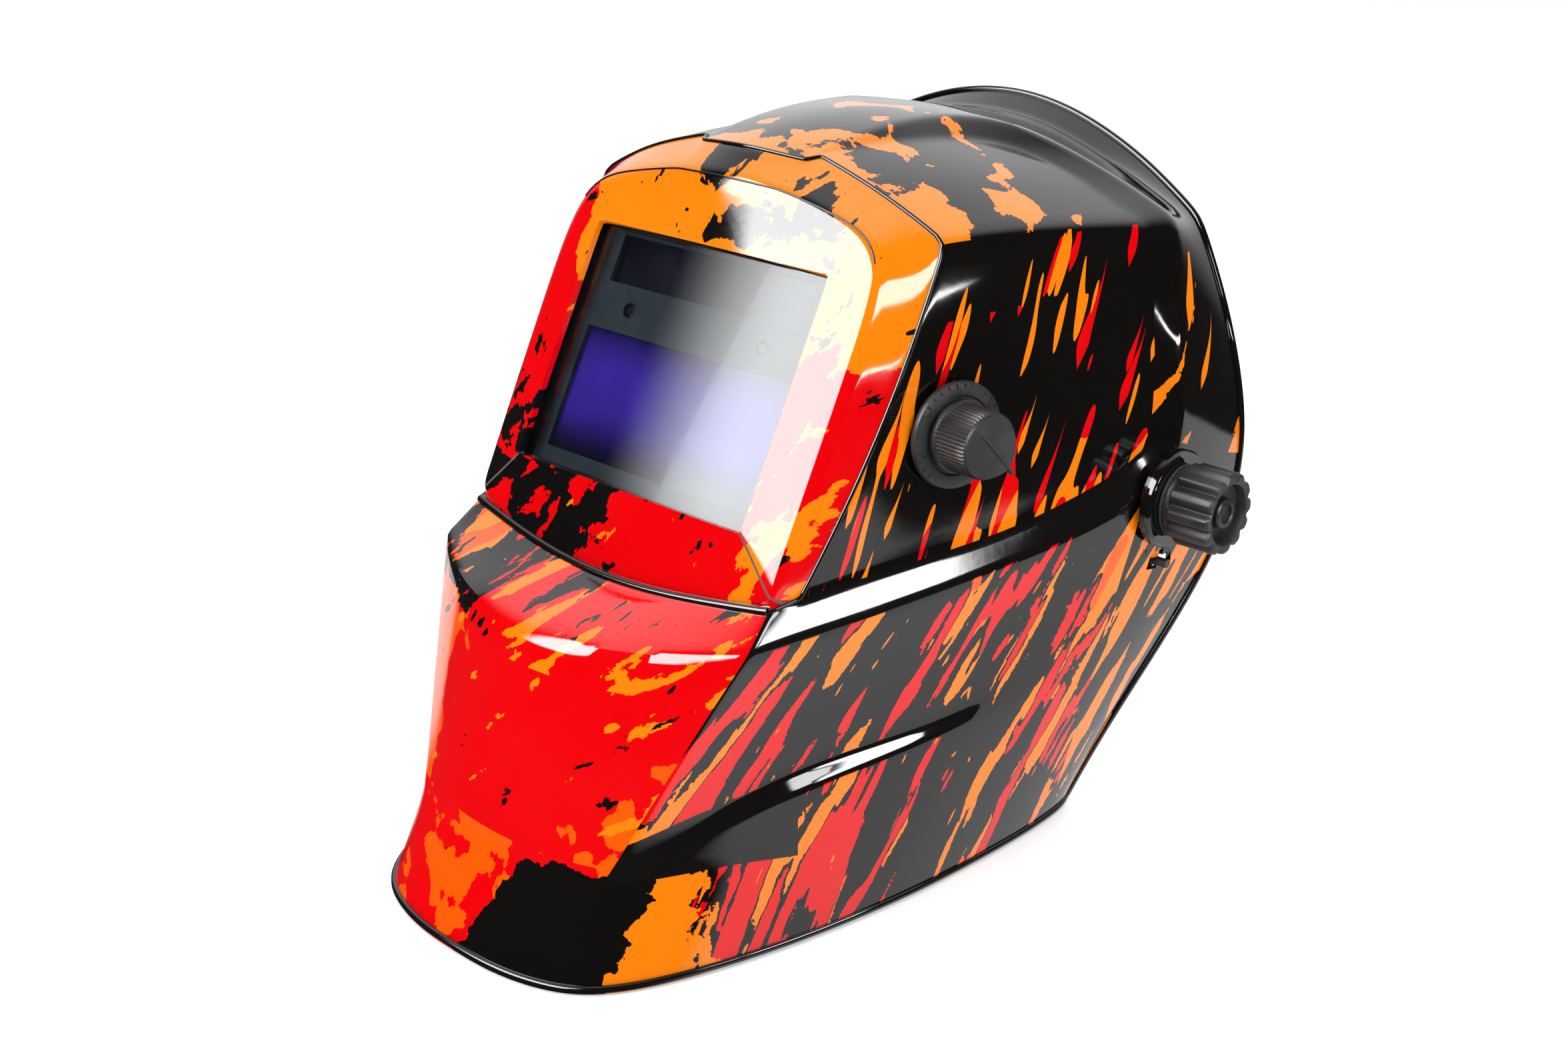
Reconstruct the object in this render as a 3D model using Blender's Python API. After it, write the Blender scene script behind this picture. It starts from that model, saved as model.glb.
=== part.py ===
"""Auto-darkening welding helmet, standing on the flat lower rim of its shell.

Frame: +Z up, -Y to the front of the helmet, +X to the wearer's left. The origin is on the
surface the helmet stands on, at the middle of the model's length and width.
Shapes are written in millimetres and turned into metres where objects are made.
"""
import math

import bmesh
import bpy
from mathutils import Matrix, Vector

MM = 0.001
LENS_FOOT_Y = -92.8         # the window's lower edge, from the origin
LENS_FOOT_Z = 132.5         # the window's lower edge above the rim
LENS_LEAN = math.radians(28.5)
SHELL_WALL = 2.0
GAP = 0.3                   # seating gap between separate pieces
RUNNING_GAP = 0.1           # radial gap of a shaft that turns in a bore

WINDOW_HALF_WIDTH = 51.2
WINDOW_HEIGHT = 82.0

PIVOT_Y, PIVOT_Z = 150.0, 116.0
BOSS_OUTER_X, BOSS_INNER_X = 109.4, 100.5
BOSS_RADIUS, BOSS_INNER_RADIUS = 17.0, 12.5
ARM_X = 95.8                # middle of the side arms at the pivots
BOLT_RADIUS = 3.8
HEAD_LEAN = math.radians(28.5)
SLOT_RADIUS = 24.0
SLOT_HALF_ANGLE = 14.0
SLOT_HALF_WIDTH = 2.2

SHADE_CENTRE = (81.3, 63.0, 155.5)
SHADE_NORMAL = Vector((1.0, -0.24, 0.06)).normalized()

CASE_HALF_WIDTH, CASE_BOTTOM, CASE_TOP = 55.0, -4.0, 86.0
POST_SPOTS = ((62.5, 10.0), (62.5, 72.0))

BAND_HALF_WIDTH, BAND_HALF_LENGTH, BAND_CENTRE = 80.0, 96.0, 4.0
BAND_THICKNESS = 1.8
RACK_B = 98.5
CROWN_X = 82.7
PINION_TEETH, PINION_PITCH_RADIUS = 10, 4.5


# ---------------------------------------------------------------- frames

def shell_frame():
    """The shell's millimetres: y from the window's lower edge, z from the rim."""
    return Matrix.Translation((0, LENS_FOOT_Y, 0))


def lens_frame():
    """x across, y up along the window, z out of the window, from its lower edge's middle."""
    turn = Matrix.Rotation(math.pi / 2 - LENS_LEAN, 4, "X")
    return Matrix.Translation((0, LENS_FOOT_Y, LENS_FOOT_Z)) @ turn


def head_frame():
    """x across, y to the back of the head, z to the crown, from the pivot axis."""
    place = Matrix.Translation((0, LENS_FOOT_Y + PIVOT_Y, PIVOT_Z))
    return place @ Matrix.Rotation(-HEAD_LEAN, 4, "X")


def shade_frame():
    """z out of the side panel at the shade dial, y up along the panel."""
    side = Vector((0, 0, 1)).cross(SHADE_NORMAL).normalized()
    up = SHADE_NORMAL.cross(side)
    turn = Matrix((side, up, SHADE_NORMAL)).transposed().to_4x4()
    x, y, z = SHADE_CENTRE
    return Matrix.Translation((x, LENS_FOOT_Y + y, z)) @ turn


def pivot_frame(side):
    """z out of the helmet along the pivot axis, on the left (+1) or right (-1)."""
    turn = Matrix.Rotation(side * math.pi / 2, 4, "Y")
    return Matrix.Translation((0, LENS_FOOT_Y + PIVOT_Y, PIVOT_Z)) @ turn


def at(frame, x, y, z):
    return frame @ Matrix.Translation((x, y, z))


# ---------------------------------------------------------------- making objects

def clear_scene():
    for item in list(bpy.data.objects):
        bpy.data.objects.remove(item, do_unlink=True)


def material(name, colour, roughness, metallic=0.0, alpha=1.0):
    found = bpy.data.materials.get(name)
    if found:
        return found
    made = bpy.data.materials.new(name)
    made.use_nodes = True
    shader = made.node_tree.nodes["Principled BSDF"]
    shader.inputs["Base Color"].default_value = (*colour, 1.0)
    shader.inputs["Roughness"].default_value = roughness
    shader.inputs["Metallic"].default_value = metallic
    shader.inputs["Alpha"].default_value = alpha
    return made


def finish_material(key):
    table = {
        "shell_paint": ((0.90, 0.22, 0.01), 0.12),
        "black_plastic": ((0.02, 0.02, 0.022), 0.45),
        "satin_plastic": ((0.03, 0.03, 0.033), 0.35),
        "cover_lens": ((0.75, 0.80, 0.85), 0.05, 0.0, 0.35),
        "filter_glass": ((0.05, 0.03, 0.25), 0.08),
        "solar_cell": ((0.02, 0.015, 0.05), 0.2),
        "circuit": ((0.02, 0.16, 0.06), 0.5),
        "steel": ((0.62, 0.62, 0.63), 0.3, 1.0),
        "rubber": ((0.015, 0.015, 0.015), 0.8),
        "sweat_fabric": ((0.03, 0.03, 0.035), 0.95),
        "lead_jacket": ((0.02, 0.02, 0.02), 0.5),
    }
    return material(key, *table[key])


def add_object(name, bm, frame, finish, smooth=True):
    """An object from a mesh in the frame's millimetres, with its origin at the frame's."""
    turned = frame.copy()
    turned.translation = frame.translation * MM
    bmesh.ops.scale(bm, vec=(MM, MM, MM), verts=bm.verts)
    bmesh.ops.recalc_face_normals(bm, faces=bm.faces)
    mesh = bpy.data.meshes.new(name)
    bm.to_mesh(mesh)
    bm.free()
    if smooth:
        mesh.shade_smooth()
        mesh.set_sharp_from_angle(angle=math.radians(35))
    made = bpy.data.objects.new(name, mesh)
    made.matrix_world = turned
    mesh.materials.append(finish_material(finish))
    bpy.context.scene.collection.objects.link(made)
    return made


def cut(target, tool, operation="DIFFERENCE"):
    tool.hide_render = True
    tool.display_type = "WIRE"
    step = target.modifiers.new(operation.title(), "BOOLEAN")
    step.operation = operation
    step.object = tool
    step.solver = "EXACT"


# ---------------------------------------------------------------- shapes

def loft(loops, closed_ends=True, ring=False):
    """A skin through closed loops of equal length; ring joins the last loop to the first."""
    bm = bmesh.new()
    rows = [[bm.verts.new(point) for point in loop] for loop in loops]
    count = len(rows[0])
    pairs = list(zip(rows, rows[1:]))
    if ring:
        pairs.append((rows[-1], rows[0]))
    for low, high in pairs:
        for i in range(count):
            j = (i + 1) % count
            bm.faces.new((low[i], low[j], high[j], high[i]))
    if closed_ends and not ring:
        bm.faces.new(list(reversed(rows[0])))
        bm.faces.new(rows[-1])
    return bm


def box(x0, x1, y0, y1, z0, z1):
    corners = ((x0, y0), (x1, y0), (x1, y1), (x0, y1))
    return loft([[(x, y, z) for x, y in corners] for z in (z0, z1)])


def turned(profile, segments=24, closed_ring=False):
    """A solid of revolution about z through (radius, z) points."""
    steps = [2 * math.pi * i / segments for i in range(segments)]
    loops = [[(r * math.cos(a), r * math.sin(a), z) for a in steps] for r, z in profile]
    return loft(loops, ring=closed_ring)


def tube(inner, outer, z0, z1, segments=24):
    return turned([(outer, z0), (outer, z1), (inner, z1), (inner, z0)], segments, True)


def rounded_box(half_x, y0, y1, z0, z1, radius, steps=3):
    """A box whose corners are round when seen along z."""
    middles = ((half_x - radius, y1 - radius, 0), (radius - half_x, y1 - radius, 90),
               (radius - half_x, y0 + radius, 180), (half_x - radius, y0 + radius, 270))
    outline = []
    for cx, cy, start in middles:
        for i in range(steps + 1):
            a = math.radians(start + 90 * i / steps)
            outline.append((cx + radius * math.cos(a), cy + radius * math.sin(a)))
    return loft([[(x, y, z) for x, y in outline] for z in (z0, z1)])


def scalloped(radius, depth, lobes, z0, z1, steps=4):
    """A solid grip whose edge has shallow scallops."""
    count = lobes * steps
    angles = [2 * math.pi * i / count for i in range(count)]

    def loop(z, inset):
        edge = [radius - inset - depth * (0.5 - 0.5 * math.cos(lobes * a)) for a in angles]
        return [(r * math.cos(a), r * math.sin(a), z) for r, a in zip(edge, angles)]

    return loft([loop(z0, 0.0), loop(z1 - 1.0, 0.0), loop(z1, 1.0)])


def smooth_path(points, steps=4):
    """Points on a Catmull-Rom curve through the given ones."""
    vectors = [Vector(p) for p in points]
    ends = [2 * vectors[0] - vectors[1]] + vectors + [2 * vectors[-1] - vectors[-2]]
    path = []
    for a, b, c, d in zip(ends, ends[1:], ends[2:], ends[3:]):
        for i in range(steps):
            t = i / steps
            path.append(0.5 * (2 * b + (c - a) * t + (2 * a - 5 * b + 4 * c - d) * t * t
                               + (3 * b - a - 3 * c + d) * t * t * t))
    return path + [vectors[-1]]


def strip(path, thickness, low, high):
    """A flat strip along a plan path, between heights that may vary along it."""
    loops = []
    for i, point in enumerate(path):
        before, after = path[max(i - 1, 0)], path[min(i + 1, len(path) - 1)]
        along = (after - before).normalized()
        across = Vector((along.y, -along.x)) * thickness / 2
        outer, inner = point + across, point - across
        bottom, top = low(i / (len(path) - 1)), high(i / (len(path) - 1))
        loops.append([(outer.x, outer.y, bottom), (outer.x, outer.y, top),
                      (inner.x, inner.y, top), (inner.x, inner.y, bottom)])
    return loft(loops)


def band_point(angle, inset=0.0):
    """A point on the headband's oval, counted from the forehead towards the left."""
    normal = Vector((math.sin(angle) / BAND_HALF_WIDTH, -math.cos(angle) / BAND_HALF_LENGTH))
    point = Vector((BAND_HALF_WIDTH * math.sin(angle),
                    BAND_CENTRE - BAND_HALF_LENGTH * math.cos(angle)))
    return point - normal.normalized() * inset


def mirrored(bm):
    bmesh.ops.scale(bm, vec=(-1, 1, 1), verts=bm.verts)
    bmesh.ops.reverse_faces(bm, faces=bm.faces)
    return bm


# ---------------------------------------------------------------- shell

# The shell's control cage, left half. Each row runs backwards along the side, from the
# middle of the front or from the window block, to the rear rim.
CHIN_ROWS = {
    "rim": [(0, -80, -4), (19, -79.7, -4), (38, -74.7, -4)],
    "collar": [(0, -61.5, 31.5), (15.5, -60.7, 31.6), (31, -57.8, 32)],
    "ledge_low": [(0, -60.7, 36), (16, -59.8, 36), (31.7, -56.8, 36)],
    "ledge_high": [(0, -59.8, 41), (16.5, -58.8, 41), (33, -55.3, 40.5)],
    "waist": [(0, -53.5, 68), (20, -51.3, 68.5), (40.5, -45, 69)],
    "band_low": [(0, -44, 100), (23.5, -41, 101), (48, -32, 102.5)],
    "band_high": [(0, -10.5, 107.5), (23, -10, 108.5), (46, -7.7, 111)],
}
CORNER = {
    "rim": (53, -65, -4), "collar": (44, -53, 32.5), "ledge_low": (45.5, -51, 36),
    "ledge_high": (47, -48.8, 40), "waist": (57.5, -34.5, 69.5),
    "band_low": (70.6, -17, 103.6), "band_high": (67.6, -4.3, 113.6),
}
SIDE_ROWS = {
    "rim": [(66, -40, -4), (77, -2, -4), (84.5, 40, -4), (87, 74, -4), (88, 100, -4),
            (87, 115, -4), (86, 121, -4), (84.6, 125, -4), (83, 128, -4)],
    "collar": [(57, -33, 33), (73, 2, 32), (84.5, 46, 27), (88.3, 80, 22), (90, 104, 20),
               (90.5, 121, 20), (90.3, 131, 21), (89.6, 138.5, 22), (88.5, 144, 22.5)],
    "ledge_low": [(57.5, -29.5, 41), (72, 1, 51.5), (83.5, 50, 53.5), (90, 79, 58),
                  (95.5, 106, 62), (98.5, 128, 66), (99, 141, 64), (98.5, 152, 58),
                  (96, 162, 50)],
    "ledge_high": [(55.5, -28, 45), (67, 3, 56.5), (80.5, 50, 57.5), (88.5, 79, 60.8),
                   (95.3, 106, 66), (99.5, 128, 76), (101, 142, 78), (102, 155, 77),
                   (101, 173, 69)],
    "waist": [(63, -18.5, 74), (74, 19, 79), (83, 55, 83), (90.3, 86, 87), (97, 113, 92),
              (102, 135, 98), (104.5, 148, 100), (106, 163, 96), (105, 181, 86)],
    "band_low": [(72.6, -7, 103.9), (80.5, 27, 106), (87.3, 60, 108.8), (93, 89, 112.3),
                 (99.3, 117, 116.5), (104.8, 141, 123), (107, 149.5, 127.5),
                 (108.6, 168, 114), (107.5, 187.5, 104)],
    "band_high": [(70, 6, 115), (76, 33, 115.8), (82.3, 61, 116.9), (87.6, 90, 117.8),
                  (94.3, 120, 124), (99.8, 144.5, 132), (107.2, 150.3, 135),
                  (108.6, 170, 126), (108.4, 190, 121)],
    "panel_low": [(73.3, 25.5, 143), (77.5, 48, 144), (82.5, 72, 145.5), (87.5, 97, 147),
                  (93.8, 123, 148), (100, 146, 150), (107, 150.8, 151), (108, 171.5, 148),
                  (107.2, 189, 143)],
    "panel_high": [(75.8, 46, 178), (78.8, 63, 178.5), (82, 84, 179), (85.8, 105, 179.2),
                   (90.8, 128, 179), (97, 147.5, 178.5), (104, 152.5, 178),
                   (104, 172.5, 176), (98.5, 188, 174)],
    "shoulder": [(75, 65, 214), (77.8, 77, 213.8), (81.3, 94, 212.9), (84, 111, 211.4),
                 (87, 129, 209.4), (89.8, 146.5, 207.5), (93, 163, 206.8), (87, 180, 201.5),
                 (84, 190, 201)],
    "top_outer": [(50, 62.5, 226.5), (52.5, 76, 226.8), (55, 93, 226.2), (57, 111, 224.7),
                  (59, 130, 222.5), (62, 147.5, 219.8), (67, 158, 220), (60, 180.5, 213.5),
                  (62.5, 192.5, 214.8)],
    "hump_low": [(24.9, 64.5, 232.7), (25.6, 77, 233.2), (27, 92, 233.1), (28.8, 108, 232.2),
                 (30.8, 125, 230.3), (38, 141.5, 227.4), (47, 150.5, 229),
                 (38, 181.5, 221.8), (43, 193, 224.2)],
    "hump_high": [(22.4, 59.5, 231.9), (23, 75, 235.2), (23.3, 91, 237), (23.7, 108, 237.5),
                  (24.2, 124, 236.8), (28.5, 138.5, 235.2), (35.5, 146.5, 232.6),
                  (20, 182.5, 226.3), (23, 193.6, 230.8)],
    "ridge": [(0, 54, 234.5), (0, 72, 237.6), (0, 90, 239.3), (0, 108, 239.8),
              (0, 125, 238.8), (0, 141, 236.8), (0, 153, 234.4), (0, 183, 227.6),
              (0, 194.5, 233.4)],
}
LOWER_ROWS = list(CHIN_ROWS)
UPPER_ROWS = [row for row in SIDE_ROWS if row not in CHIN_ROWS]
ALL_ROWS = LOWER_ROWS + UPPER_ROWS

# The window block: a ring of points from the top's middle down to the bottom's middle.
BLOCK_EDGE = [(0, 46, 226), (20, 47.2, 225.2), (22.5, 47.4, 225), (46, 49, 220.5),
              (68, 47.2, 214.2), (68.3, 29.2, 180), (68.2, 11, 145), (67.8, -1.6, 120.5),
              (67.5, -4, 116), (46, -7.3, 113.3), (23, -9.2, 111), (0, -9.8, 110)]
WINDOW_EDGE = [(0, 1), (0.3, 1), (0.34, 1), (0.68, 1), (1, 1), (1, 0.7), (1, 0.32), (1, 0.06),
               (1, 0), (0.68, 0), (0.34, 0), (0, 0)]

PANEL_BACK, RIB, VALLEY = 5, 6, 7


def window_point(across, up):
    """A point of the window's edge: across and up are shares of its width and height."""
    height = up * WINDOW_HEIGHT
    return (across * WINDOW_HALF_WIDTH, height * math.sin(LENS_LEAN),
            LENS_FOOT_Z + height * math.cos(LENS_LEAN))


def shell_cage():
    """The cage as a mesh with creases, both halves welded along the middle."""
    bm = bmesh.new()
    crease = bm.edges.layers.float.new("crease_edge")
    corner_crease = bm.verts.layers.float.new("crease_vert")
    for side in (1, -1):
        known = {}

        def vertex(point):
            if point not in known:
                known[point] = bm.verts.new((side * point[0], point[1], point[2]))
            return known[point]

        rows = {}
        for name in ALL_ROWS:
            front = CHIN_ROWS[name] + [CORNER[name]] if name in CHIN_ROWS else []
            rows[name] = [vertex(p) for p in front + SIDE_ROWS[name]]
        block = [vertex(p) for p in BLOCK_EDGE]
        window = [vertex(window_point(*share)) for share in WINDOW_EDGE]

        def face(*corners):
            bm.faces.new(corners if side > 0 else tuple(reversed(corners)))

        for low, high in zip(ALL_ROWS, ALL_ROWS[1:]):
            lower, upper = rows[low][-len(rows[high]):], rows[high]
            for i in range(len(upper) - 1):
                face(lower[i], lower[i + 1], upper[i + 1], upper[i])
        upper_start = [rows[name][0] for name in reversed(UPPER_ROWS)]
        groove = upper_start + [rows["band_high"][i] for i in (4, 3, 2, 1, 0)]
        for ring_a, ring_b in ((groove, block), (block, window)):
            for i in range(len(ring_a) - 1):
                face(ring_a[i], ring_a[i + 1], ring_b[i + 1], ring_b[i])

        def sharpen(chain, amount):
            for a, b in zip(chain, chain[1:]):
                edge = bm.edges.get((a, b))
                edge[crease] = amount

        window[4][corner_crease] = window[8][corner_crease] = 0.85
        sharpen(groove, 1.0)
        sharpen(block, 0.9)
        sharpen([rows[name][3] for name in LOWER_ROWS[1:]], 1.0)
        sharpen(rows["band_low"][3:11], 1.0)
        sharpen(rows["band_low"][1:4], 0.5)
        sharpen(rows["band_high"][4:10], 1.0)
        sharpen([rows["band_high"][9]] + [rows[n][PANEL_BACK] for n in UPPER_ROWS[:-2]], 1.0)
        sharpen([rows[n][10] for n in ("band_low", "band_high")]
                + [rows[n][RIB] for n in UPPER_ROWS[:-1]], 1.0)
        sharpen(rows["hump_low"][:PANEL_BACK + 1], 1.0)
        sharpen(rows["hump_high"][:RIB + 1], 0.9)
        sharpen(rows["shoulder"][:PANEL_BACK + 1], 0.95)
        sharpen(rows["shoulder"][PANEL_BACK:], 0.5)
        sharpen(rows["ledge_low"][4:8], 0.85)
        sharpen(rows["ledge_high"][4:8], 0.85)
        sharpen(rows["collar"][:6], 0.55)
        sharpen([rows[n][VALLEY] for n in ("ridge", "hump_high", "hump_low", "top_outer")], 0.6)
    bmesh.ops.remove_doubles(bm, verts=bm.verts, dist=0.01)
    return bm


def build_shell():
    bm = shell_cage()
    shell = add_object("helmet_shell", bm, shell_frame(), "shell_paint")
    surface = shell.modifiers.new("Surface", "SUBSURF")
    surface.levels = surface.render_levels = 1
    wall = shell.modifiers.new("Wall", "SOLIDIFY")
    wall.thickness = SHELL_WALL * MM
    wall.offset = -1.0
    floor = add_object("floor_cut", box(-150, 150, -150, 250, -40, 0), shell_frame(),
                       "black_plastic", False)
    cut(shell, floor)
    for side, label in ((1, "left"), (-1, "right")):
        frame = pivot_frame(side)
        disc = turned([(BOSS_INNER_RADIUS, BOSS_INNER_X), (BOSS_INNER_RADIUS, 105.2),
                       (BOSS_RADIUS, 105.2), (BOSS_RADIUS, BOSS_OUTER_X)], 32)
        boss = add_object(f"boss_{label}_add", disc, frame, "black_plastic")
        cut(shell, boss, "UNION")
        bolt_bore = turned([(BOLT_RADIUS + RUNNING_GAP, 95), (BOLT_RADIUS + RUNNING_GAP, 115)])
        cut(shell, add_object(f"bore_{label}_cut", bolt_bore, frame, "black_plastic"))
        slot = add_object(f"slot_{label}_cut", stop_slot(side), frame, "black_plastic", False)
        cut(shell, slot)
    dial_hole = add_object("dial_cut", turned([(4.6, -12), (4.6, 12)]), shade_frame(),
                           "black_plastic")
    cut(shell, dial_hole)
    for number, (across, up) in enumerate(post_spots()):
        post = add_object(f"post_{number}_add", tube(1.6, 3.4, -9.1, -4.4, 12),
                          at(lens_frame(), across, up, 0), "black_plastic")
        cut(shell, post, "UNION")
    return shell


def post_spots():
    return [(side * across, up) for side in (1, -1) for across, up in POST_SPOTS]


def stop_slot(side):
    """The short arc slot under the pivot, as a bent bar that goes through the shell."""
    loops = []
    inner, outer = SLOT_RADIUS - SLOT_HALF_WIDTH, SLOT_RADIUS + SLOT_HALF_WIDTH
    for i in range(7):
        turn = math.radians(SLOT_HALF_ANGLE * (i - 3) / 3)
        across, along = side * math.cos(turn), math.sin(turn)
        section = ((inner, 96), (outer, 96), (outer, 116), (inner, 116))
        loops.append([(r * across, r * along, z) for r, z in section])
    return loft(loops)


# ---------------------------------------------------------------- window and filter

def build_window():
    frame = lens_frame()
    low, high, half = CASE_BOTTOM, CASE_TOP, CASE_HALF_WIDTH
    add_object("front_cover_lens", rounded_box(half, low, high, -4.7, -3.7, 1.5), frame,
               "cover_lens")
    gasket = add_object("lens_gasket", box(-half, half, low, high, -6.1, -5.0), frame,
                        "rubber", False)
    cut(gasket, add_object("gasket_cut", box(-50.5, 50.5, 1, 81, -7, -4), frame, "rubber", False))

    front = add_object("filter_case_front", rounded_box(half, low, high, -11.0, -6.4, 2.0),
                       frame, "black_plastic")
    openings = {"inside": (53.4, -2.4, 84.4, -12, -8.0), "screen": (46, 6, 48, -9, -5),
                "solar": (43, 64, 80, -9, -5)}
    for label, (across, y0, y1, z0, z1) in openings.items():
        tool = box(-across, across, y0, y1, z0, z1)
        cut(front, add_object(f"case_front_{label}_cut", tool, frame, "black_plastic", False))
    for side, label in ((1, "left"), (-1, "right")):
        spot = at(frame, side * 30, 56, 0)
        cut(front, add_object(f"sensor_{label}_cut", turned([(2.6, -9), (2.6, -5)], 16), spot,
                              "black_plastic"))
        add_object(f"arc_sensor_{label}", turned([(2.2, -9.6), (2.2, -7.4), (1.4, -6.8)], 16),
                   spot, "filter_glass")

    back = add_object("filter_case_back", rounded_box(half, low, high, -16.4, -11.3, 2.0),
                      frame, "black_plastic")
    openings = {"inside": (-53.4, 53.4, -2.4, 84.4, -14.8, -10),
                "screen": (-46, 46, 6, 48, -18, -13),
                "switch": (-10, 2, 67.2, 70.8, -18, -13)}
    for label, bounds in openings.items():
        cut(back, add_object(f"case_back_{label}_cut", box(*bounds), frame, "black_plastic",
                             False))
    holes = {"sensitivity": (14, 69, 1.9), "delay": (34, 69, 1.9), "battery": (-36, 69, 11.4)}
    for label, (x, y, radius) in holes.items():
        tool = turned([(radius, -18), (radius, -13)])
        cut(back, add_object(f"case_back_{label}_cut", tool, at(frame, x, y, 0),
                             "black_plastic"))

    add_object("lcd_filter_glass", box(-49, 49, 3.5, 50.5, -10.9, -8.3), frame, "filter_glass",
               False)
    add_object("solar_cell", box(-45, 45, 62.5, 81.5, -9.1, -8.3), frame, "solar_cell", False)
    add_object("circuit_board", box(-22, 50, 55, 83, -12.6, -11.2), frame, "circuit", False)
    add_object("battery_cell", turned([(10, -14.6), (10, -11.5)]), at(frame, -36, 69, 0),
               "steel")
    cover = add_object("battery_cover", turned([(11.0, -16.8), (11.0, -15.0)]),
                       at(frame, -36, 69, 0), "satin_plastic")
    cut(cover, add_object("coin_slot_cut", box(-7, 7, -0.8, 0.8, -18, -16.0),
                          at(frame, -36, 69, 0), "satin_plastic", False))
    add_object("inner_cover_lens", box(-52, 52, 2, 52, -17.9, -16.9), frame, "cover_lens", False)
    for label, x in (("sensitivity", 14), ("delay", 34)):
        knob = turned([(0.6, -20.9), (5.2, -20.9), (5.8, -20.2), (5.8, -16.9), (1.8, -16.9),
                       (1.8, -12.9), (0.6, -12.9)])
        made = add_object(f"{label}_knob", knob, at(frame, x, 69, 0), "satin_plastic")
        cut(made, add_object(f"{label}_mark_cut", box(-0.5, 0.5, 1.5, 7, -22, -20.2),
                             at(frame, x, 69, 0), "satin_plastic", False))
    slider = box(-2.6, 2.6, -1.5, 1.5, -18.6, -13.2)
    add_object("grind_switch", slider, at(frame, -7.1, 69, 0), "satin_plastic", False)


def build_holder():
    """The frame that holds the filter behind the window, its latch and its screws."""
    frame = lens_frame()
    holder = add_object("filter_holder", rounded_box(59, -8, 90, -18.0, -6.7, 3.0), frame,
                        "black_plastic")
    inside = rounded_box(CASE_HALF_WIDTH + 0.4, CASE_BOTTOM - 0.4, CASE_TOP + 0.4, -25, -5, 1.5)
    cut(holder, add_object("holder_inside_cut", inside, frame, "black_plastic"))
    lip = box(-38, 38, -7.9, 1.5, -20.0, -18.2)
    lip_wall = add_object("holder_lip_add", lip, frame, "black_plastic", False)
    cut(holder, lip_wall, "UNION")
    lip_foot = box(-38, 38, -7.9, -4.5, -19.0, -17.0)
    cut(holder, add_object("holder_lip_foot_add", lip_foot, frame, "black_plastic", False),
        "UNION")
    for number, (across, up) in enumerate(post_spots()):
        side = math.copysign(1, across)
        x0, x1 = sorted((side * 58, side * (POST_SPOTS[0][0] + 3.4)))
        ear = box(x0, x1, up - 3.4, up + 3.4, -12.4, -9.4)
        cut(holder, add_object(f"ear_{number}_add", ear, frame, "black_plastic", False), "UNION")
        spot = at(frame, across, up, 0)
        cut(holder, add_object(f"ear_{number}_cut", turned([(1.6, -14), (1.6, -8)], 12), spot,
                               "black_plastic"))
        screw = turned([(1.2, -6.2), (1.2, -12.7), (2.7, -12.7), (2.7, -14.0), (1.8, -14.6)], 12)
        add_object(f"holder_screw_{number + 1}", screw, spot, "steel")
    for side in (1, -1):
        x0, x1 = sorted((side * 16, side * 20))
        lug = box(x0, x1, 88, 95, -17.0, -10.0)
        cut(holder, add_object(f"lug_{side}_add", lug, frame, "black_plastic", False), "UNION")

    hinge = at(frame, 0, 92.6, -14.0)
    latch = add_object("filter_latch", box(-15.5, 15.5, -1.6, 1.6, -6.4, 1.6), hinge,
                       "satin_plastic", False)
    hook = box(-13, 13, -12.0, 1.6, -6.4, -4.4)
    cut(latch, add_object("latch_hook_add", hook, hinge, "satin_plastic", False), "UNION")
    nub = box(-10, 10, -12.0, -9.0, -5.0, -2.7)
    cut(latch, add_object("latch_nub_add", nub, hinge, "satin_plastic", False), "UNION")
    axle = hinge @ Matrix.Rotation(math.pi / 2, 4, "Y")
    pin = turned([(1.1, -19.2), (1.1, 19.2)], 12)
    cut(latch, add_object("latch_pin_add", pin, axle, "satin_plastic"), "UNION")
    cut(holder, add_object("latch_pin_cut", turned([(1.25, -22), (1.25, 22)], 12), axle,
                           "black_plastic"))


# ---------------------------------------------------------------- shade control

def build_shade_control():
    frame = shade_frame()
    plate = turned([(4.4, 0.8), (17.0, 0.8), (17.0, 2.6), (15.8, 3.4), (4.4, 3.4)], 40, True)
    add_object("shade_dial_plate", plate, frame, "black_plastic")
    body = turned([(8.5, -12.5), (8.5, -4.4), (3.5, -4.4), (3.5, 5.0), (2.2, 5.0),
                   (2.2, -10.0), (0.4, -10.0), (0.4, -12.5)], 24, True)
    add_object("shade_potentiometer", body, frame, "steel")
    add_object("potentiometer_nut", tube(4.4, 6.4, 3.7, 5.4, 6), frame, "steel")
    add_object("potentiometer_shaft", turned([(2.1, -9.6), (2.1, 16.0)]), frame, "steel")
    count = 48
    angles = [2 * math.pi * i / count for i in range(count)]

    def loop(radius, z, ridge=0.0):
        edge = [radius - ridge * (i % 2) for i in range(count)]
        return [(r * math.cos(a), r * math.sin(a), z) for r, a in zip(edge, angles)]

    loops = [loop(11.6, 3.7), loop(11.6, 5.2), loop(11.0, 5.4, 0.5), loop(10.6, 17.6, 0.5),
             loop(9.8, 18.4), loop(2.4, 18.4), loop(2.4, 8.0), loop(7.6, 8.0), loop(7.6, 3.7)]
    knob = add_object("shade_knob", loft(loops, ring=True), frame, "black_plastic")
    ridge = box(-1.6, 1.6, -13.2, 9.0, 17.0, 20.0)
    pointer = math.radians(40)
    turn = Matrix.Rotation(pointer, 4, "Z")
    cut(knob, add_object("pointer_add", ridge, frame @ turn, "black_plastic", False), "UNION")
    clear = turned([(2.4, 2), (2.4, 18.0)], 16)
    cut(knob, add_object("knob_bore_cut", clear, frame, "black_plastic"))


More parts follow.
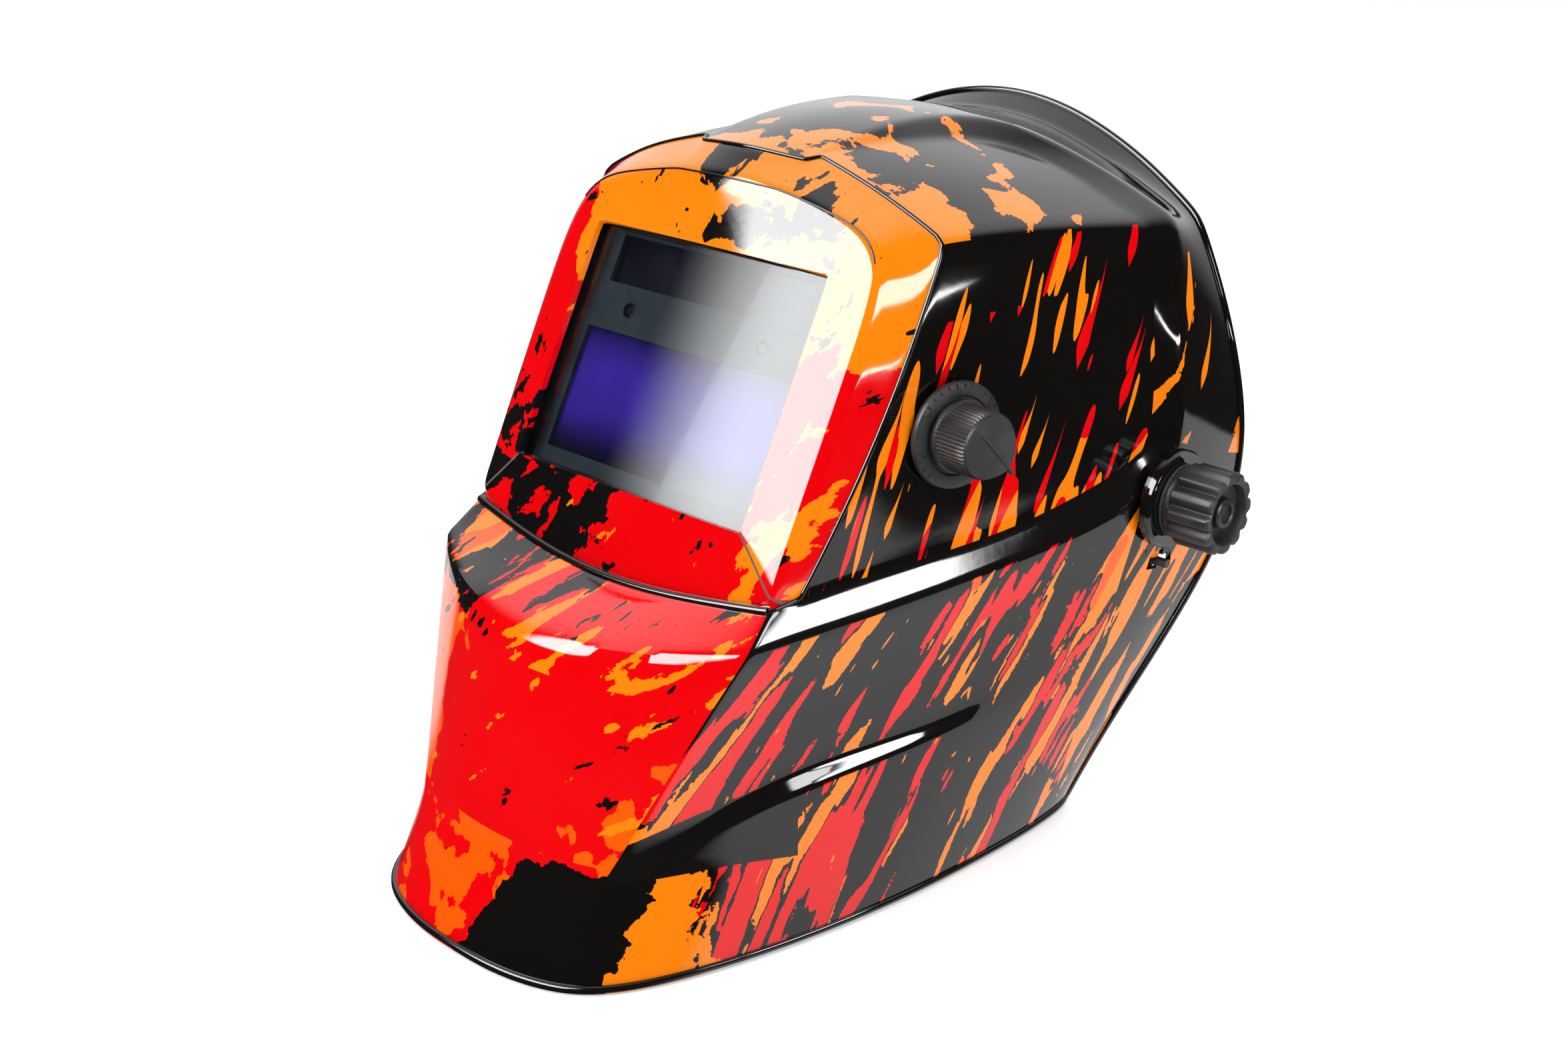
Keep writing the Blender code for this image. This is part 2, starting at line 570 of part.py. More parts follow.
def build_shade_lead():
    """The short lead from the potentiometer to the filter, held at both ends."""
    route = [(68.75, 66.0, 154.75), (66.2, 66.6, 154.95), (61.5, 65.3, 158.5),
             (56, 62, 164.5), (50, 57.5, 172.5), (46, 53.1, 179.9), (44.7, 50.5, 184.7),
             (44.5, 48.2, 186.0)]
    curve = bpy.data.curves.new("shade_lead", "CURVE")
    curve.dimensions = "3D"
    curve.bevel_depth = 1.4 * MM
    curve.bevel_resolution = 2
    curve.use_fill_caps = True
    points = [shell_frame() @ p for p in smooth_path(route, 4)]
    line = curve.splines.new("POLY")
    line.points.add(len(points) - 1)
    for target, point in zip(line.points, points):
        target.co = (*(point * MM), 1.0)
    curve.materials.append(finish_material("lead_jacket"))
    bpy.context.scene.collection.objects.link(bpy.data.objects.new("shade_lead", curve))


# ---------------------------------------------------------------- pivots

def build_pivot(side, label):
    frame = pivot_frame(side)
    add_object(f"friction_washer_{label}", tube(4.6, 12.5, 109.7, 110.9, 28), frame, "rubber")
    grip = scalloped(14.2, 1.5, 12, 111.2, 129.0)
    knob = add_object(f"pivot_knob_{label}", grip, frame, "black_plastic")
    cup = turned([(10.2, 125.0), (10.2, 131.0)])
    cut(knob, add_object(f"cup_{label}_cut", cup, frame, "black_plastic"))
    hub = turned([(5.2, 124.0), (5.2, 127.6), (4.0, 128.2)])
    cut(knob, add_object(f"hub_{label}_add", hub, frame, "black_plastic"), "UNION")
    thread = turned([(BOLT_RADIUS + RUNNING_GAP, 110), (BOLT_RADIUS + RUNNING_GAP, 123.5)])
    cut(knob, add_object(f"thread_{label}_cut", thread, frame, "black_plastic"))

    bolt = turned([(8.0, ARM_X - 4.6), (8.0, ARM_X - 1.7), (BOLT_RADIUS, ARM_X - 1.7),
                   (BOLT_RADIUS, 122.5)])
    add_object(f"pivot_bolt_{label}", bolt, frame, "satin_plastic")

    low, high = ARM_X + 2.1, BOSS_INNER_X - GAP
    stop = add_object(f"angle_stop_{label}", tube(5.0, 12.0, low, high, 28), frame,
                      "satin_plastic")
    tab = box(*sorted((side * 10, side * (SLOT_RADIUS + 3))), -4, 4, low, high)
    cut(stop, add_object(f"tab_{label}_add", tab, frame, "satin_plastic", False), "UNION")
    peg = turned([(1.6, low + 0.5), (1.6, 107.0)], 16)
    cut(stop, add_object(f"peg_{label}_add", peg, at(frame, side * SLOT_RADIUS, 0, 0),
                         "satin_plastic"), "UNION")
    for part, bounds in (("web", (low, high, -12, -5, 6, 15.6)),
                         ("shoulder", (ARM_X - 1.8, low + 0.8, -12, -7, 13.4, 15.6))):
        x0, x1 = sorted((side * bounds[0], side * bounds[1]))
        block = add_object(f"{part}_{label}_add", box(x0, x1, *bounds[2:]), head_frame(),
                           "satin_plastic", False)
        cut(stop, block, "UNION")


# ---------------------------------------------------------------- headgear

def head_object(name, bm, finish, side=1):
    return add_object(name, mirrored(bm) if side < 0 else bm, head_frame(), finish)


def build_headband():
    angles = [math.radians(-98 + 196 * i / 32) for i in range(33)]
    band = strip([band_point(a) for a in angles], BAND_THICKNESS,
                 lambda t: -15 - 3 * math.sin(math.pi * t), lambda t: 13 + 9 * math.sin(math.pi * t))
    head_object("headband_front", band, "black_plastic")
    angles = [math.radians(-52 + 104 * i / 16) for i in range(17)]
    pad = strip([band_point(a, 4.3) for a in angles], 5.6,
                lambda t: -17, lambda t: 20)
    head_object("sweatband", pad, "sweat_fabric")


def build_side_arm(side, label):
    """The arm from the headband's outside to the pivot, with a round end at the bolt."""
    oval = [band_point(math.radians(a), -2.55) for a in (46, 52, 58, 64)]
    straight = [Vector((ARM_X, b)) for b in (-13.0, -10, -6, 0, 4, 8, 11, 12.9)]
    bend = [Vector((79.0, -34.5)), Vector((88.6, -22.5)), Vector((ARM_X - 1.6, -15.6))]
    path = oval + bend + straight

    def half_height(t):
        b = path[round(t * (len(path) - 1))].y
        if b <= 0:
            return max(9.0, 13 + 0.25 * b)
        return math.sqrt(max(13.0 ** 2 - b * b, 1.0))

    arm = head_object(f"side_arm_{label}", strip(path, 2.6, lambda t: -half_height(t),
                                                 half_height), "satin_plastic", side)
    bore = turned([(BOLT_RADIUS + 0.4, 90), (BOLT_RADIUS + 0.4, 100)])
    cut(arm, add_object(f"arm_bore_{label}_cut", bore, pivot_frame(side), "satin_plastic"))
    angle = math.radians(55)
    spot, outer = band_point(angle), band_point(angle, -6)
    along = Vector((outer.x - spot.x, outer.y - spot.y, 0)).normalized()
    along.x *= side
    turn = along.to_track_quat("Z", "Y").to_matrix().to_4x4()
    frame = head_frame() @ Matrix.Translation((side * spot.x, spot.y, 0)) @ turn
    rivet_bore = turned([(2.3, -3), (2.3, 6)], 16)
    cut(arm, add_object(f"arm_rivet_{label}_cut", rivet_bore, frame, "satin_plastic"))
    cut(bpy.data.objects["headband_front"],
        add_object(f"band_rivet_{label}_cut", turned([(2.3, -2), (2.3, 2)], 16), frame,
                   "satin_plastic"))
    rivet = turned([(1.9, -0.8), (1.9, 4.2), (4.0, 4.2), (3.2, 5.6)], 16)
    add_object(f"arm_rivet_{label}", rivet, frame, "steel")


def build_crown_strap(side, label):
    """Half of the strap over the head; the left half lies on the right one at the crown."""
    lift = 2.1 if side > 0 else 0.0
    arc = []
    for i in range(15):
        a = math.radians(96 * i / 14)
        arc.append(Vector((CROWN_X * math.cos(a), 4 + (78 + lift) * math.sin(a))))
    bm = strip([Vector((CROWN_X, -12))] + arc, BAND_THICKNESS, lambda t: -21, lambda t: -5)
    bmesh.ops.rotate(bm, matrix=Matrix.Rotation(math.radians(90), 3, "X"), verts=bm.verts)
    bmesh.ops.translate(bm, vec=(0, -26, 0), verts=bm.verts)
    strap = head_object(f"crown_strap_{label}", bm, "black_plastic", side)
    spot = at(head_frame(), 0, -13, 0)
    cut(strap, add_object(f"crown_pin_{label}_cut", turned([(2.4, 75), (2.4, 90)], 16), spot,
                          "black_plastic"))


def rack_strap(side, label, low, high, tooth_face):
    """A strap from the temple to the rear, ending in a toothed rack in the ratchet."""
    route = [(77.2, 12.5), (76.6, 30), (72.8, 52), (64.5, 74), (54.5, 90), (45, 97.6),
             (40, RACK_B), (34, RACK_B), (20, RACK_B), (0, RACK_B), (-14, RACK_B)]
    path = smooth_path([(*p, 0) for p in route], 3)
    path = [Vector((p.x, p.y)) for p in path]
    full = [p.x > 39.9 for p in path]

    def bottom(t):
        return -12.5 if full[round(t * (len(path) - 1))] else low

    def top(t):
        return 12.5 if full[round(t * (len(path) - 1))] else high

    strap = head_object(f"rear_strap_{label}", strip(path, BAND_THICKNESS, bottom, top),
                        "black_plastic", side)
    pitch = 2 * math.pi * PINION_PITCH_RADIUS / PINION_TEETH
    for i in range(13):
        x = pitch * (i - 3.5)
        root, tip = tooth_face, tooth_face - math.copysign(1.7, tooth_face)
        section = [(x - 0.75, root), (x + 0.75, root), (x + 0.35, tip), (x - 0.35, tip)]
        loops = [[(side * a, b, u) for a, u in section]
                 for b in (RACK_B - BAND_THICKNESS / 2, RACK_B + BAND_THICKNESS / 2)]
        tooth = add_object(f"rack_tooth_{label}_{i}_add", loft(loops), head_frame(),
                           "black_plastic", False)
        cut(strap, tooth, "UNION")
    return strap


def build_ratchet():
    frame = head_frame()
    housing = add_object("ratchet_housing", box(-32, 32, 95.2, 103.0, -15, 15), frame,
                         "satin_plastic", False)
    cut(housing, add_object("housing_inside_cut", box(-40, 40, 97.0, 105, -12.9, 12.9), frame,
                            "satin_plastic", False))
    cover = add_object("ratchet_cover", box(-32, 32, 103.3, 105.3, -15, 15), frame,
                       "satin_plastic", False)
    axis = at(frame, 0, 0, 0) @ Matrix.Rotation(math.radians(-90), 4, "X")
    cut(cover, add_object("cover_bore_cut", turned([(3.3, 102), (3.3, 107)]), axis,
                          "satin_plastic"))
    tooth = 2 * math.pi / PINION_TEETH
    outline = []
    for i in range(PINION_TEETH):
        middle = math.pi / 2 + i * tooth
        for turn, radius in ((-0.30, 3.5), (-0.09, 5.3), (0.09, 5.3), (0.30, 3.5)):
            outline.append((radius * math.cos(middle + turn * tooth * 0.9),
                            radius * math.sin(middle + turn * tooth * 0.9)))
    pinion = add_object("ratchet_pinion", loft([[(x, y, z) for x, y in outline]
                                                for z in (97.3, 100.9)]), axis, "steel", False)
    stem = turned([(3.2, 100.5), (3.2, 110.5)])
    cut(pinion, add_object("pinion_stem_add", stem, axis, "steel"), "UNION")
    grip = scalloped(20.0, 2.0, 14, 106.3, 119.0)
    knob = add_object("ratchet_knob", grip, axis, "black_plastic")
    cut(knob, add_object("knob_socket_cut", turned([(3.6, 105), (3.6, 111)]), axis,
                         "black_plastic"))


def build_nape_pad():
    pad = rounded_box(29, -13, 13, -94.9, -89.5, 5.0)
    axis = head_frame() @ Matrix.Rotation(math.radians(90), 4, "X")
    add_object("nape_pad", pad, axis, "sweat_fabric")


def build_crown_pin():
    pin = turned([(2.0, 79.0), (2.0, 86.9), (4.5, 86.9), (3.8, 88.3)], 16)
    add_object("crown_pin", pin, at(head_frame(), 0, -13, 0), "satin_plastic")


def main():
    clear_scene()
    build_shell()
    build_window()
    build_holder()
    build_shade_control()
    build_shade_lead()
    build_headband()
    for side, label in ((1, "left"), (-1, "right")):
        build_pivot(side, label)
        build_side_arm(side, label)
        build_crown_strap(side, label)
    rack_strap(1, "left", 5.9, 12.5, 6.0)
    rack_strap(-1, "right", -12.5, -5.9, -6.0)
    build_ratchet()
    build_nape_pad()
    build_crown_pin()


main()
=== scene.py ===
"""Looks of the welding helmet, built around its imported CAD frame.

Shapes are written in millimetres in the part's own frames and turned into metres.
+Z is up, -Y is the front of the helmet and +X the wearer's left.
"""
import functools
import math

import bmesh
import bpy
from mathutils import Matrix, Vector


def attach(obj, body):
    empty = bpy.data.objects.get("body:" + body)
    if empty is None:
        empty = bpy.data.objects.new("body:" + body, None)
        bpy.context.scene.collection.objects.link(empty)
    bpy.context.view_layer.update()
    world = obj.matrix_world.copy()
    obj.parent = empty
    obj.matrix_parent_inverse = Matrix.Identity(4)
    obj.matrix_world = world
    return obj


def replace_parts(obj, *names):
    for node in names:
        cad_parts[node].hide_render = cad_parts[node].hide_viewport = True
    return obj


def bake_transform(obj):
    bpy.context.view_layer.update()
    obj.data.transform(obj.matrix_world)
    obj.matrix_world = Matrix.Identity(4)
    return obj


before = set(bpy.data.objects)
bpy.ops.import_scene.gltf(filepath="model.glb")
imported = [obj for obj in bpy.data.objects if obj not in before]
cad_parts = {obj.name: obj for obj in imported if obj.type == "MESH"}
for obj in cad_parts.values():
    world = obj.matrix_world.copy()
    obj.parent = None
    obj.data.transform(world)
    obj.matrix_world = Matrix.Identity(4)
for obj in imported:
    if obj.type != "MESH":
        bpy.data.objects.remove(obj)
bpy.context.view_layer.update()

# Sizes of the CAD part that the looks repeat, in millimetres.
MM = 0.001
LENS_FOOT_Y, LENS_FOOT_Z = -92.8, 132.5
LENS_LEAN = math.radians(28.5)
WINDOW_HALF_WIDTH, WINDOW_HEIGHT = 51.2, 82.0
SHELL_WALL = 2.0
PIVOT_Y, PIVOT_Z = 150.0, 116.0
HEAD_LEAN = math.radians(28.5)
SHADE_CENTRE = (81.3, 63.0, 155.5)
SHADE_NORMAL = Vector((1.0, -0.24, 0.06)).normalized()
BAND_HALF_WIDTH, BAND_HALF_LENGTH, BAND_CENTRE = 80.0, 96.0, 4.0
BAND_THICKNESS = 1.8
CROWN_HALF_WIDTH, CROWN_HEIGHT, CROWN_FOOT = 82.7, 78.0, 4.0
RACK_B = 98.5
PINION_RADIUS, PINION_TEETH = 4.5, 10


# ---------------------------------------------------------------- frames

def shell_frame():
    """y from the foot of the window, z from the bench."""
    return Matrix.Translation((0, LENS_FOOT_Y, 0))


def head_frame():
    """x across, y to the back of the head, z to the crown, from the pivot axis."""
    place = Matrix.Translation((0, LENS_FOOT_Y + PIVOT_Y, PIVOT_Z))
    return place @ Matrix.Rotation(-HEAD_LEAN, 4, "X")


def shade_frame():
    """z out of the side panel at the shade dial, y up along the panel."""
    side = Vector((0, 0, 1)).cross(SHADE_NORMAL).normalized()
    up = SHADE_NORMAL.cross(side)
    turn = Matrix((side, up, SHADE_NORMAL)).transposed().to_4x4()
    x, y, z = SHADE_CENTRE
    return Matrix.Translation((x, LENS_FOOT_Y + y, z)) @ turn


def pivot_frame(side):
    """z out of the helmet along the pivot axis, on the left (+1) or right (-1)."""
    turn = Matrix.Rotation(side * math.pi / 2, 4, "Y")
    return Matrix.Translation((0, LENS_FOOT_Y + PIVOT_Y, PIVOT_Z)) @ turn


def ratchet_frame():
    """z out of the back of the headgear along the ratchet's axis."""
    return head_frame() @ Matrix.Rotation(math.radians(-90), 4, "X")


# ---------------------------------------------------------------- camera, light, floor

FOCAL_LENGTH, SENSOR_WIDTH = 46.68, 36.0
CAMERA_PLACE = Vector((0.44551, -0.40038 + LENS_FOOT_Y * MM, 0.36646))
CAMERA_PITCH, CAMERA_YAW = 67.7255, 43.2066
LIGHT_CENTRE = Vector((0, -0.04, 0.14))
BRIGHT_SIDE = (-0.45, 0.60, 0.66)
BRIGHT_RISE = (0.46, 0.86, 0.03, 1.1)   # cosines to BRIGHT_SIDE, and the strengths there

# Azimuth, elevation, distance, size and power.
LAMPS = {
    "key_fill": (-24, 34, 1.5, 1.1, 11),
    "side_fill": (82, 32, 1.5, 1.0, 9),
    "top_fill": (0, 90, 2.4, 3.0, 44),
    "back_fill": (186, 12, 1.6, 1.2, 20),
}
# Azimuth, elevation, distance, width, height, radiance, faded share of the half size, and
# the direction it faces if that isn't away from the helmet.
PANELS = {
    "key_box": (-16.2, 37.6, 1.4, 1.64, 0.98, 14.5, 0.20),
    "ledge_box": (98.3, 10.8, 0.236, 0.085, 0.115, 20.0, 0.25, (0, 90)),
    "table_glow": (180, -34, 0.2535, 0.98, 0.64, 1.0, 0.1, (0, -90)),
    "low_ledge_box": (88.3, 26.9, 0.3185, 0.085, 0.075, 13.0, 0.3),
}


def linked(name, data):
    """A new object in the scene."""
    made = bpy.data.objects.new(name, data)
    bpy.context.scene.collection.objects.link(made)
    return made


def build_camera():
    data = bpy.data.cameras.new("camera")
    data.lens, data.sensor_width = FOCAL_LENGTH, SENSOR_WIDTH
    data.clip_start, data.clip_end = 0.01, 50.0
    camera = linked("camera", data)
    camera.location = CAMERA_PLACE
    camera.rotation_euler = (math.radians(CAMERA_PITCH), 0.0, math.radians(CAMERA_YAW))
    bpy.context.scene.camera = camera


def direction(azimuth, elevation):
    """A unit vector; azimuth 0 is to the front (-Y) and grows towards +X."""
    a, e = math.radians(azimuth), math.radians(elevation)
    return Vector((math.sin(a) * math.cos(e), -math.cos(a) * math.cos(e), math.sin(e)))


def aimed(name, data, azimuth, elevation, distance, facing=None):
    """An object round the helmet, with its +z pointing away from it or along facing."""
    made = linked(name, data)
    towards = direction(azimuth, elevation)
    made.location = LIGHT_CENTRE + towards * distance
    outward = direction(*facing) if facing else towards
    made.rotation_euler = outward.to_track_quat("Z", "Y").to_euler()
    return made


def fill_lamp(name, azimuth, elevation, distance, size, power):
    """A large soft lamp that lights colours but leaves no mirror image in the gloss."""
    data = bpy.data.lights.new(name, "AREA")
    data.shape, data.size, data.energy = "SQUARE", size, power
    aimed(name, data, azimuth, elevation, distance).visible_glossy = False


def reflected_panel(name, azimuth, elevation, distance, width, height, radiance, faded,
                    facing=None):
    """A softbox seen only as a mirror image."""
    mesh = bpy.data.meshes.new(name)
    w, h = width / 2, height / 2
    mesh.from_pydata([(-w, -h, 0), (w, -h, 0), (w, h, 0), (-w, h, 0)], [], [(0, 1, 2, 3)])
    panel = aimed(name, mesh, azimuth, elevation, distance, facing)
    panel.visible_camera = panel.visible_diffuse = panel.visible_shadow = False
    panel.visible_transmission = False
    g = Graph(name)
    across = g.ramp(g.math("ABSOLUTE", g.x), w, w * (1 - faded))
    along = g.ramp(g.math("ABSOLUTE", g.y), h, h * (1 - faded))
    glow = g.add("ShaderNodeEmission", {"Strength": g.times(across, along, radiance)})
    g.tree.links.new(glow.outputs[0], g.tree.nodes["Material Output"].inputs["Surface"])
    mesh.materials.append(g.material)


def build_light():
    """A white surround behind and above, dark in front, with softboxes in the gloss."""
    scene = bpy.context.scene
    scene.view_settings.view_transform = "Standard"
    world = scene.world or bpy.data.worlds.new("world")
    scene.world = world
    world.use_nodes = True
    tree = world.node_tree
    back = tree.nodes["Background"]
    back.inputs["Color"].default_value = (0.98, 0.985, 1.0, 1.0)
    place = tree.nodes.new("ShaderNodeTexCoord")
    towards = tree.nodes.new("ShaderNodeVectorMath")
    towards.operation = "DOT_PRODUCT"
    towards.inputs[1].default_value = BRIGHT_SIDE
    rise = tree.nodes.new("ShaderNodeMapRange")
    rise.interpolation_type = "SMOOTHSTEP"
    for slot, value in enumerate(BRIGHT_RISE, 1):
        rise.inputs[slot].default_value = value
    tree.links.new(place.outputs["Generated"], towards.inputs[0])
    tree.links.new(towards.outputs["Value"], rise.inputs[0])
    tree.links.new(rise.outputs[0], back.inputs["Strength"])
    for name, placing in LAMPS.items():
        fill_lamp(name, *placing)
    for name, placing in PANELS.items():
        reflected_panel(name, *placing)


def stage_piece(name, bm, colour, roughness, glow, strength):
    """A piece of the set: matte paper that also glows a little."""
    mesh = bpy.data.meshes.new(name)
    bm.to_mesh(mesh)
    bm.free()
    mesh.shade_smooth()
    g = Graph(name, roughness)
    g.look({"Base Color": colour, "Emission Color": glow, "Emission Strength": strength})
    mesh.materials.append(g.material)
    made = linked(name, mesh)
    made.visible_glossy = False
    return made


def build_stage():
    """A pale floor, and a plain bright background that lights nothing."""
    bm = bmesh.new()
    bmesh.ops.create_circle(bm, cap_ends=True, segments=96, radius=6.0)
    floor = stage_piece("floor", bm, (0.88, 0.88, 0.88), 0.7, (1.0, 1.0, 1.0), 0.34)
    floor.location.z = -0.0004

    bm = bmesh.new()
    bmesh.ops.create_uvsphere(bm, u_segments=48, v_segments=24, radius=9.0)
    backdrop = stage_piece("backdrop", bm, (0.0, 0.0, 0.0), 1.0, (0.97, 0.98, 1.0), 0.92)
    backdrop.visible_diffuse = backdrop.visible_shadow = False
    backdrop.visible_transmission = False


# ---------------------------------------------------------------- materials

BRIGHT_ORANGE = (1.0, 0.235, 0.003)
DEEP_ORANGE = (1.0, 0.105, 0.001)
RED = (0.80, 0.0, 0.002)
BLACK = (0.004, 0.0035, 0.003)


class Graph:
    """A material's node tree, with short calls for the nodes used here."""

    def __init__(self, name, roughness=0.4, metallic=0.0):
        self.material = bpy.data.materials.new(name)
        self.material.use_nodes = True
        self.tree = self.material.node_tree
        self.shader = self.tree.nodes["Principled BSDF"]
        self.look({"Roughness": roughness, "Metallic": metallic})
        self.place = self.add("ShaderNodeTexCoord").outputs["Object"]
        self.x, self.y, self.z = self.split(self.place)

    def put(self, node, slot, value):
        """Links a socket to an input, or sets the input to a value or colour."""
        socket = node.inputs[slot]
        if isinstance(value, bpy.types.NodeSocket):
            self.tree.links.new(value, socket)
        elif socket.type == "RGBA":
            socket.default_value = (*value, 1.0)
        else:
            socket.default_value = value

    def add(self, kind, inputs=(), **settings):
        """A node, with what goes into its inputs by their names or in their order."""
        node = self.tree.nodes.new(kind)
        for key, value in settings.items():
            setattr(node, key, value)
        for slot, value in inputs.items() if isinstance(inputs, dict) else enumerate(inputs):
            self.put(node, slot, value)
        return node

    def look(self, values):
        for slot, value in values.items():
            self.put(self.shader, slot, value)

    def split(self, vector):
        return tuple(self.add("ShaderNodeSeparateXYZ", [vector]).outputs)

    def join(self, x, y, z=0.0):
        return self.add("ShaderNodeCombineXYZ", [x, y, z]).outputs[0]

    def math(self, operation, a, b=0.0):
        return self.add("ShaderNodeMath", [a, b], operation=operation).outputs[0]

    def ramp(self, value, low, high, out_low=0.0, out_high=1.0):
        """A smooth step of a value from low to high."""
        return self.add("ShaderNodeMapRange", [value, low, high, out_low, out_high],
                        interpolation_type="SMOOTHSTEP").outputs[0]

    def noise(self, vector, size, detail=2.0, rough=0.5, distort=0.0, seed=0.0):
        """Noise with blobs of about this many millimetres."""
        inputs = {"Vector": vector, "W": seed, "Scale": 1.0 / (size * MM), "Detail": detail,
                  "Roughness": rough, "Distortion": distort}
        return self.add("ShaderNodeTexNoise", inputs, noise_dimensions="4D").outputs[0]

    def over(self, value, level):
        return self.math("GREATER_THAN", value, level)

    def chain(self, operation, values):
        total = values[0]
        for value in values[1:]:
            total = self.math(operation, total, value)
        return total

    def plus(self, *values):
        return self.chain("ADD", values)

    def times(self, *values):
        return self.chain("MULTIPLY", values)

    def both(self, *masks):
        return self.chain("MULTIPLY", masks)

    def either(self, *masks):
        return self.chain("MAXIMUM", masks)

    def mix(self, share, a, b):
        return self.add("ShaderNodeMix", {0: share, 6: a, 7: b}, data_type="RGBA").outputs[2]

    def bump(self, height, strength, distance=0.0002):
        inputs = {"Height": height, "Strength": strength, "Distance": distance}
        self.look({"Normal": self.add("ShaderNodeBump", inputs).outputs[0]})

    def colour(self, value):
        self.look({"Base Color": value})

    def roughness(self, value):
        self.look({"Roughness": value})

    def leaning(self, angle, width, length, cross=None):
        """Coordinates across and along streaks that lean back by the angle, in streak sizes."""
        a = math.radians(angle)
        u = self.y if cross is None else cross
        along = self.plus(self.times(u, math.cos(a)), self.times(self.z, math.sin(a)))
        across = self.plus(self.times(u, -math.sin(a)), self.times(self.z, math.cos(a)))
        return self.join(self.times(across, 1 / (width * MM)),
                         self.times(along, 1 / (length * MM)))

    def streaks(self, angle, width, length, *looks, cross=None, seed=0.0):
        """Noise drawn out into streaks of this width and length in millimetres."""
        lean = self.leaning(angle, width, length, cross)
        return self.noise(lean, 1 / MM, *looks, seed=seed)


def lacquer(graph):
    """The clear gloss over the printed shell: light orange peel and faint wipe marks."""
    wipe = graph.noise(graph.place, 22, 3, 0.6, seed=4.0)
    graph.roughness(graph.ramp(wipe, 0.35, 0.75, 0.045, 0.10))
    graph.look({"Coat Weight": 0.35, "Coat Roughness": 0.03})
    graph.bump(graph.noise(graph.place, 2.6, 1, 0.4, seed=7.0), 0.045)
    return graph.material


def drops(graph, cell_width, cell_length, seed, share):
    """Slanted tear drops: one in some cells of a stretched grid, pointed at the top."""
    flat = graph.leaning(67, cell_width, cell_length)
    offset = graph.add("ShaderNodeVectorMath", [flat, (seed, seed * 1.7, 0.0)],
                       operation="ADD").outputs[0]
    cells = graph.add("ShaderNodeTexVoronoi",
                      {"Vector": offset, "Scale": 1.0, "Randomness": 0.85},
                      voronoi_dimensions="2D", feature="F1")
    delta = graph.add("ShaderNodeVectorMath", [offset, cells.outputs["Position"]],
                      operation="SUBTRACT")
    across, along, _ = graph.split(delta.outputs[0])
    red, green, blue = graph.split(cells.outputs["Color"])
    size = graph.ramp(green, 0.0, 1.0, 0.6, 1.0)
    reach = graph.math("DIVIDE", along, graph.times(size, 0.48))
    below = graph.math("POWER", graph.ramp(reach, -1.0, -0.5), 0.6)
    above = graph.math("POWER", graph.ramp(reach, 1.0, -0.75), 1.3)
    width = graph.times(graph.both(below, above), graph.times(size, 0.23))
    wave = graph.times(graph.math("SINE", graph.times(along, 7.0)), 0.05)
    inside = graph.over(width, graph.math("ABSOLUTE", graph.plus(across, wave)))
    return graph.both(inside, graph.over(share, red)), blue


def ragged(graph, vector, size, amount, seed, detail=4):
    """Fine noise about zero that makes the edge of a patch ragged."""
    return graph.times(graph.plus(graph.noise(vector, size, detail, 0.65, seed=seed), -0.5),
                       amount)


def side_high_material():
    """Black panel with slanted red and orange tear drops, and flames along its lower edge."""
    g = Graph("side_high_paint")
    colour = BLACK
    low_edge = g.ramp(g.z, 0.160, 0.116)
    reach = g.ramp(g.y, -0.075, 0.0)
    flames = g.streaks(66, 6.5, 44.0, 1, 0.4, 0.2, seed=3.1)
    lit = g.over(g.plus(flames, g.times(g.both(low_edge, reach), 0.14)), 0.66)
    near = g.ramp(g.plus(g.y, g.times(g.z, -0.47)), -0.112, -0.128)
    strokes = g.streaks(70, 6.0, 52.0, 1, 0.4, 0.25, seed=13.0)
    lit_near = g.over(g.plus(strokes, g.times(near, 0.10)), 0.665)
    tint = g.streaks(66, 9.0, 40.0, 0, 0.5, seed=9.0)
    layers = ((0.37, 0.40, (12.0, 46.0), 0.209), (5.31, 0.32, (8.5, 34.0), 0.190),
              (8.83, 0.26, (10.0, 60.0), 0.176))
    for seed, share, cell, ceiling in layers:
        mask, pick = drops(g, *cell, seed, share)
        mask = g.both(mask, g.over(ceiling, g.z))
        colour = g.mix(mask, colour, g.mix(g.over(pick, 0.42), BRIGHT_ORANGE, RED))
    colour = g.mix(lit_near, colour, BRIGHT_ORANGE)
    colour = g.mix(lit, colour, g.mix(g.over(tint, 0.50), BRIGHT_ORANGE, RED))
    g.colour(colour)
    return lacquer(g)


def flame_colour(g):
    """Dense leaning flames of orange and red with black between them."""
    rag = ragged(g, g.place, 2.4, 0.07, 11.0, 2)
    wide = g.streaks(56, 10.5, 66.0, 2, 0.45, 0.3, seed=1.2)
    fine = g.streaks(56, 6.5, 46.0, 2, 0.45, 0.3, seed=6.4)
    rear = g.ramp(g.y, -0.10, 0.08, -0.02, 0.04)
    orange = g.over(g.plus(wide, rag, rear), 0.555)
    red_field = g.plus(fine, rag, g.ramp(g.y, -0.02, -0.10, 0.0, 0.04))
    red = g.over(red_field, 0.585)
    outline = g.over(red_field, 0.55)
    fleck = g.over(g.streaks(56, 3.0, 15.0, 2, 0.5, 0.3, seed=16.4), 0.69)
    warm = g.streaks(56, 14.0, 60.0, 1, 0.5, seed=2.0)
    orange_tint = g.mix(g.over(warm, 0.60), BRIGHT_ORANGE, DEEP_ORANGE)
    colour = g.mix(orange, BLACK, orange_tint)
    colour = g.mix(outline, colour, BLACK)
    colour = g.mix(red, colour, RED)
    return g.mix(fleck, colour, orange_tint)


def side_low_material():
    """Flames over the whole lower side."""
    g = Graph("side_low_paint")
    g.colour(flame_colour(g))
    return lacquer(g)


